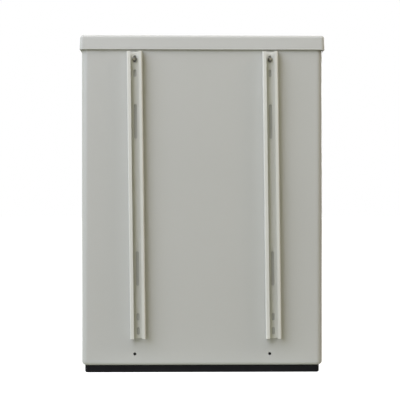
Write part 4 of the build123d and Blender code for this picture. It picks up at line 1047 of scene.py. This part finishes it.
class CABINET_OT_equipment(Operator):
    """Finish the equipment frame, panels, adapters and splice box, and make the dust caps"""

    bl_idname = "cabinet.equipment"
    bl_label = "Equipment"

    def execute(self, context):
        finish = finish_of(context)
        sheet = galvanised_sheet("frame_galvanised", finish.galvanised)
        dress(sheet, "left_upright", "right_upright", "lower_crossbar", "upper_crossbar")
        dress(sheet, "cable_bar")
        coat = powder_coat("panel_coat", finish.panel, roughness=0.4, peel=420.0)
        dress(coat, "adapter_panel_1", "adapter_panel_2", "adapter_panel_3")
        green = moulded_plastic("adapter_green", finish.adapter, roughness=0.25, strength=0.04)
        dress(green, "fibre_adapters")
        grey = moulded_plastic("splice_grey", finish.splice, roughness=0.45, strength=0.14)
        dress(grey, "splice_box_base", "splice_box_lid")
        low, high = solid_boxes("adapter_dust_caps")
        width, depth, height = high[0] - low[0]
        centres = (low + high) / 2
        centres[:, 1] = high[:, 1]
        milky = moulded_plastic(
            "dust_cap_milky", finish.dust_cap, roughness=0.34, strength=0.05,
            Subsurface_Weight=0.25, Subsurface_Scale=0.002,
        )
        caps = copies(dust_cap(width, height, depth), centres, TO_DOOR)
        make_piece(
            "ribbed_dust_caps", caps, "cabinet", milky, ["adapter_dust_caps"]
        )
        return {"FINISHED"}


class CABINET_OT_earthing(Operator):
    """Finish the earth bar and its insulators"""

    bl_idname = "cabinet.earthing"
    bl_label = "Earth bar"

    def execute(self, context):
        finish = finish_of(context)
        dress(bare_copper("earth_copper", finish.copper, finish.copper_dark), "earth_bar")
        red = moulded_plastic("insulator_red", finish.insulator, roughness=0.28, strength=0.04)
        dress(red, "earth_insulators")
        return {"FINISHED"}


class CABINET_OT_cable_entry(Operator):
    """Finish the gland plate and the cable grommets"""

    bl_idname = "cabinet.cable_entry"
    bl_label = "Cable entry"

    def execute(self, context):
        finish = finish_of(context)
        aluminium = plated(
            "gland_aluminium", finish.aluminium, roughness=0.36, stain=0.92, brush=ALONG_X
        )
        dress(aluminium, "gland_plate")
        dress(soft_rubber("grommet_rubber", finish.rubber), "cable_grommets")
        return {"FINISHED"}


class CABINET_PT_sidebar(Panel):
    """Lists the cabinet's operators and settings"""

    bl_idname = "CABINET_PT_sidebar"
    bl_label = "Roadside cabinet"
    bl_space_type = "VIEW_3D"
    bl_region_type = "UI"
    bl_category = "Cabinet"

    def draw(self, context):
        for operator in OPERATORS:
            self.layout.operator(operator.bl_idname)
        for name in SETTINGS:
            group = getattr(context.scene, name)
            box = self.layout.box()
            for setting in group.bl_rna.properties:
                if setting.identifier not in ("name", "rna_type"):
                    box.prop(group, setting.identifier)


SETTINGS = {
    "cabinet_finish": CabinetFinish,
    "cabinet_sizes": CabinetSizes,
    "cabinet_stage": CabinetStage,
}
OPERATORS = (
    CABINET_OT_stage,
    CABINET_OT_mouldings,
    CABINET_OT_plinth,
    CABINET_OT_rear_rails,
    CABINET_OT_rail_fasteners,
    CABINET_OT_hinges,
    CABINET_OT_screws,
    CABINET_OT_lock,
    CABINET_OT_door_inside,
    CABINET_OT_equipment,
    CABINET_OT_earthing,
    CABINET_OT_cable_entry,
)


def register():
    """Registers the settings, the operators and the panel."""
    for name, group in SETTINGS.items():
        bpy.utils.register_class(group)
        setattr(bpy.types.Scene, name, PointerProperty(type=group))
    for operator in OPERATORS:
        bpy.utils.register_class(operator)
    bpy.utils.register_class(CABINET_PT_sidebar)


def unregister():
    """Takes the panel, the operators and the settings out again."""
    bpy.utils.unregister_class(CABINET_PT_sidebar)
    for operator in reversed(OPERATORS):
        bpy.utils.unregister_class(operator)
    for name, group in SETTINGS.items():
        delattr(bpy.types.Scene, name)
        bpy.utils.unregister_class(group)


def main():
    """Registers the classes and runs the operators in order."""
    register()
    for operator in OPERATORS:
        category, action = operator.bl_idname.split(".")
        getattr(getattr(bpy.ops, category), action)()


if __name__ == "__main__":
    main()
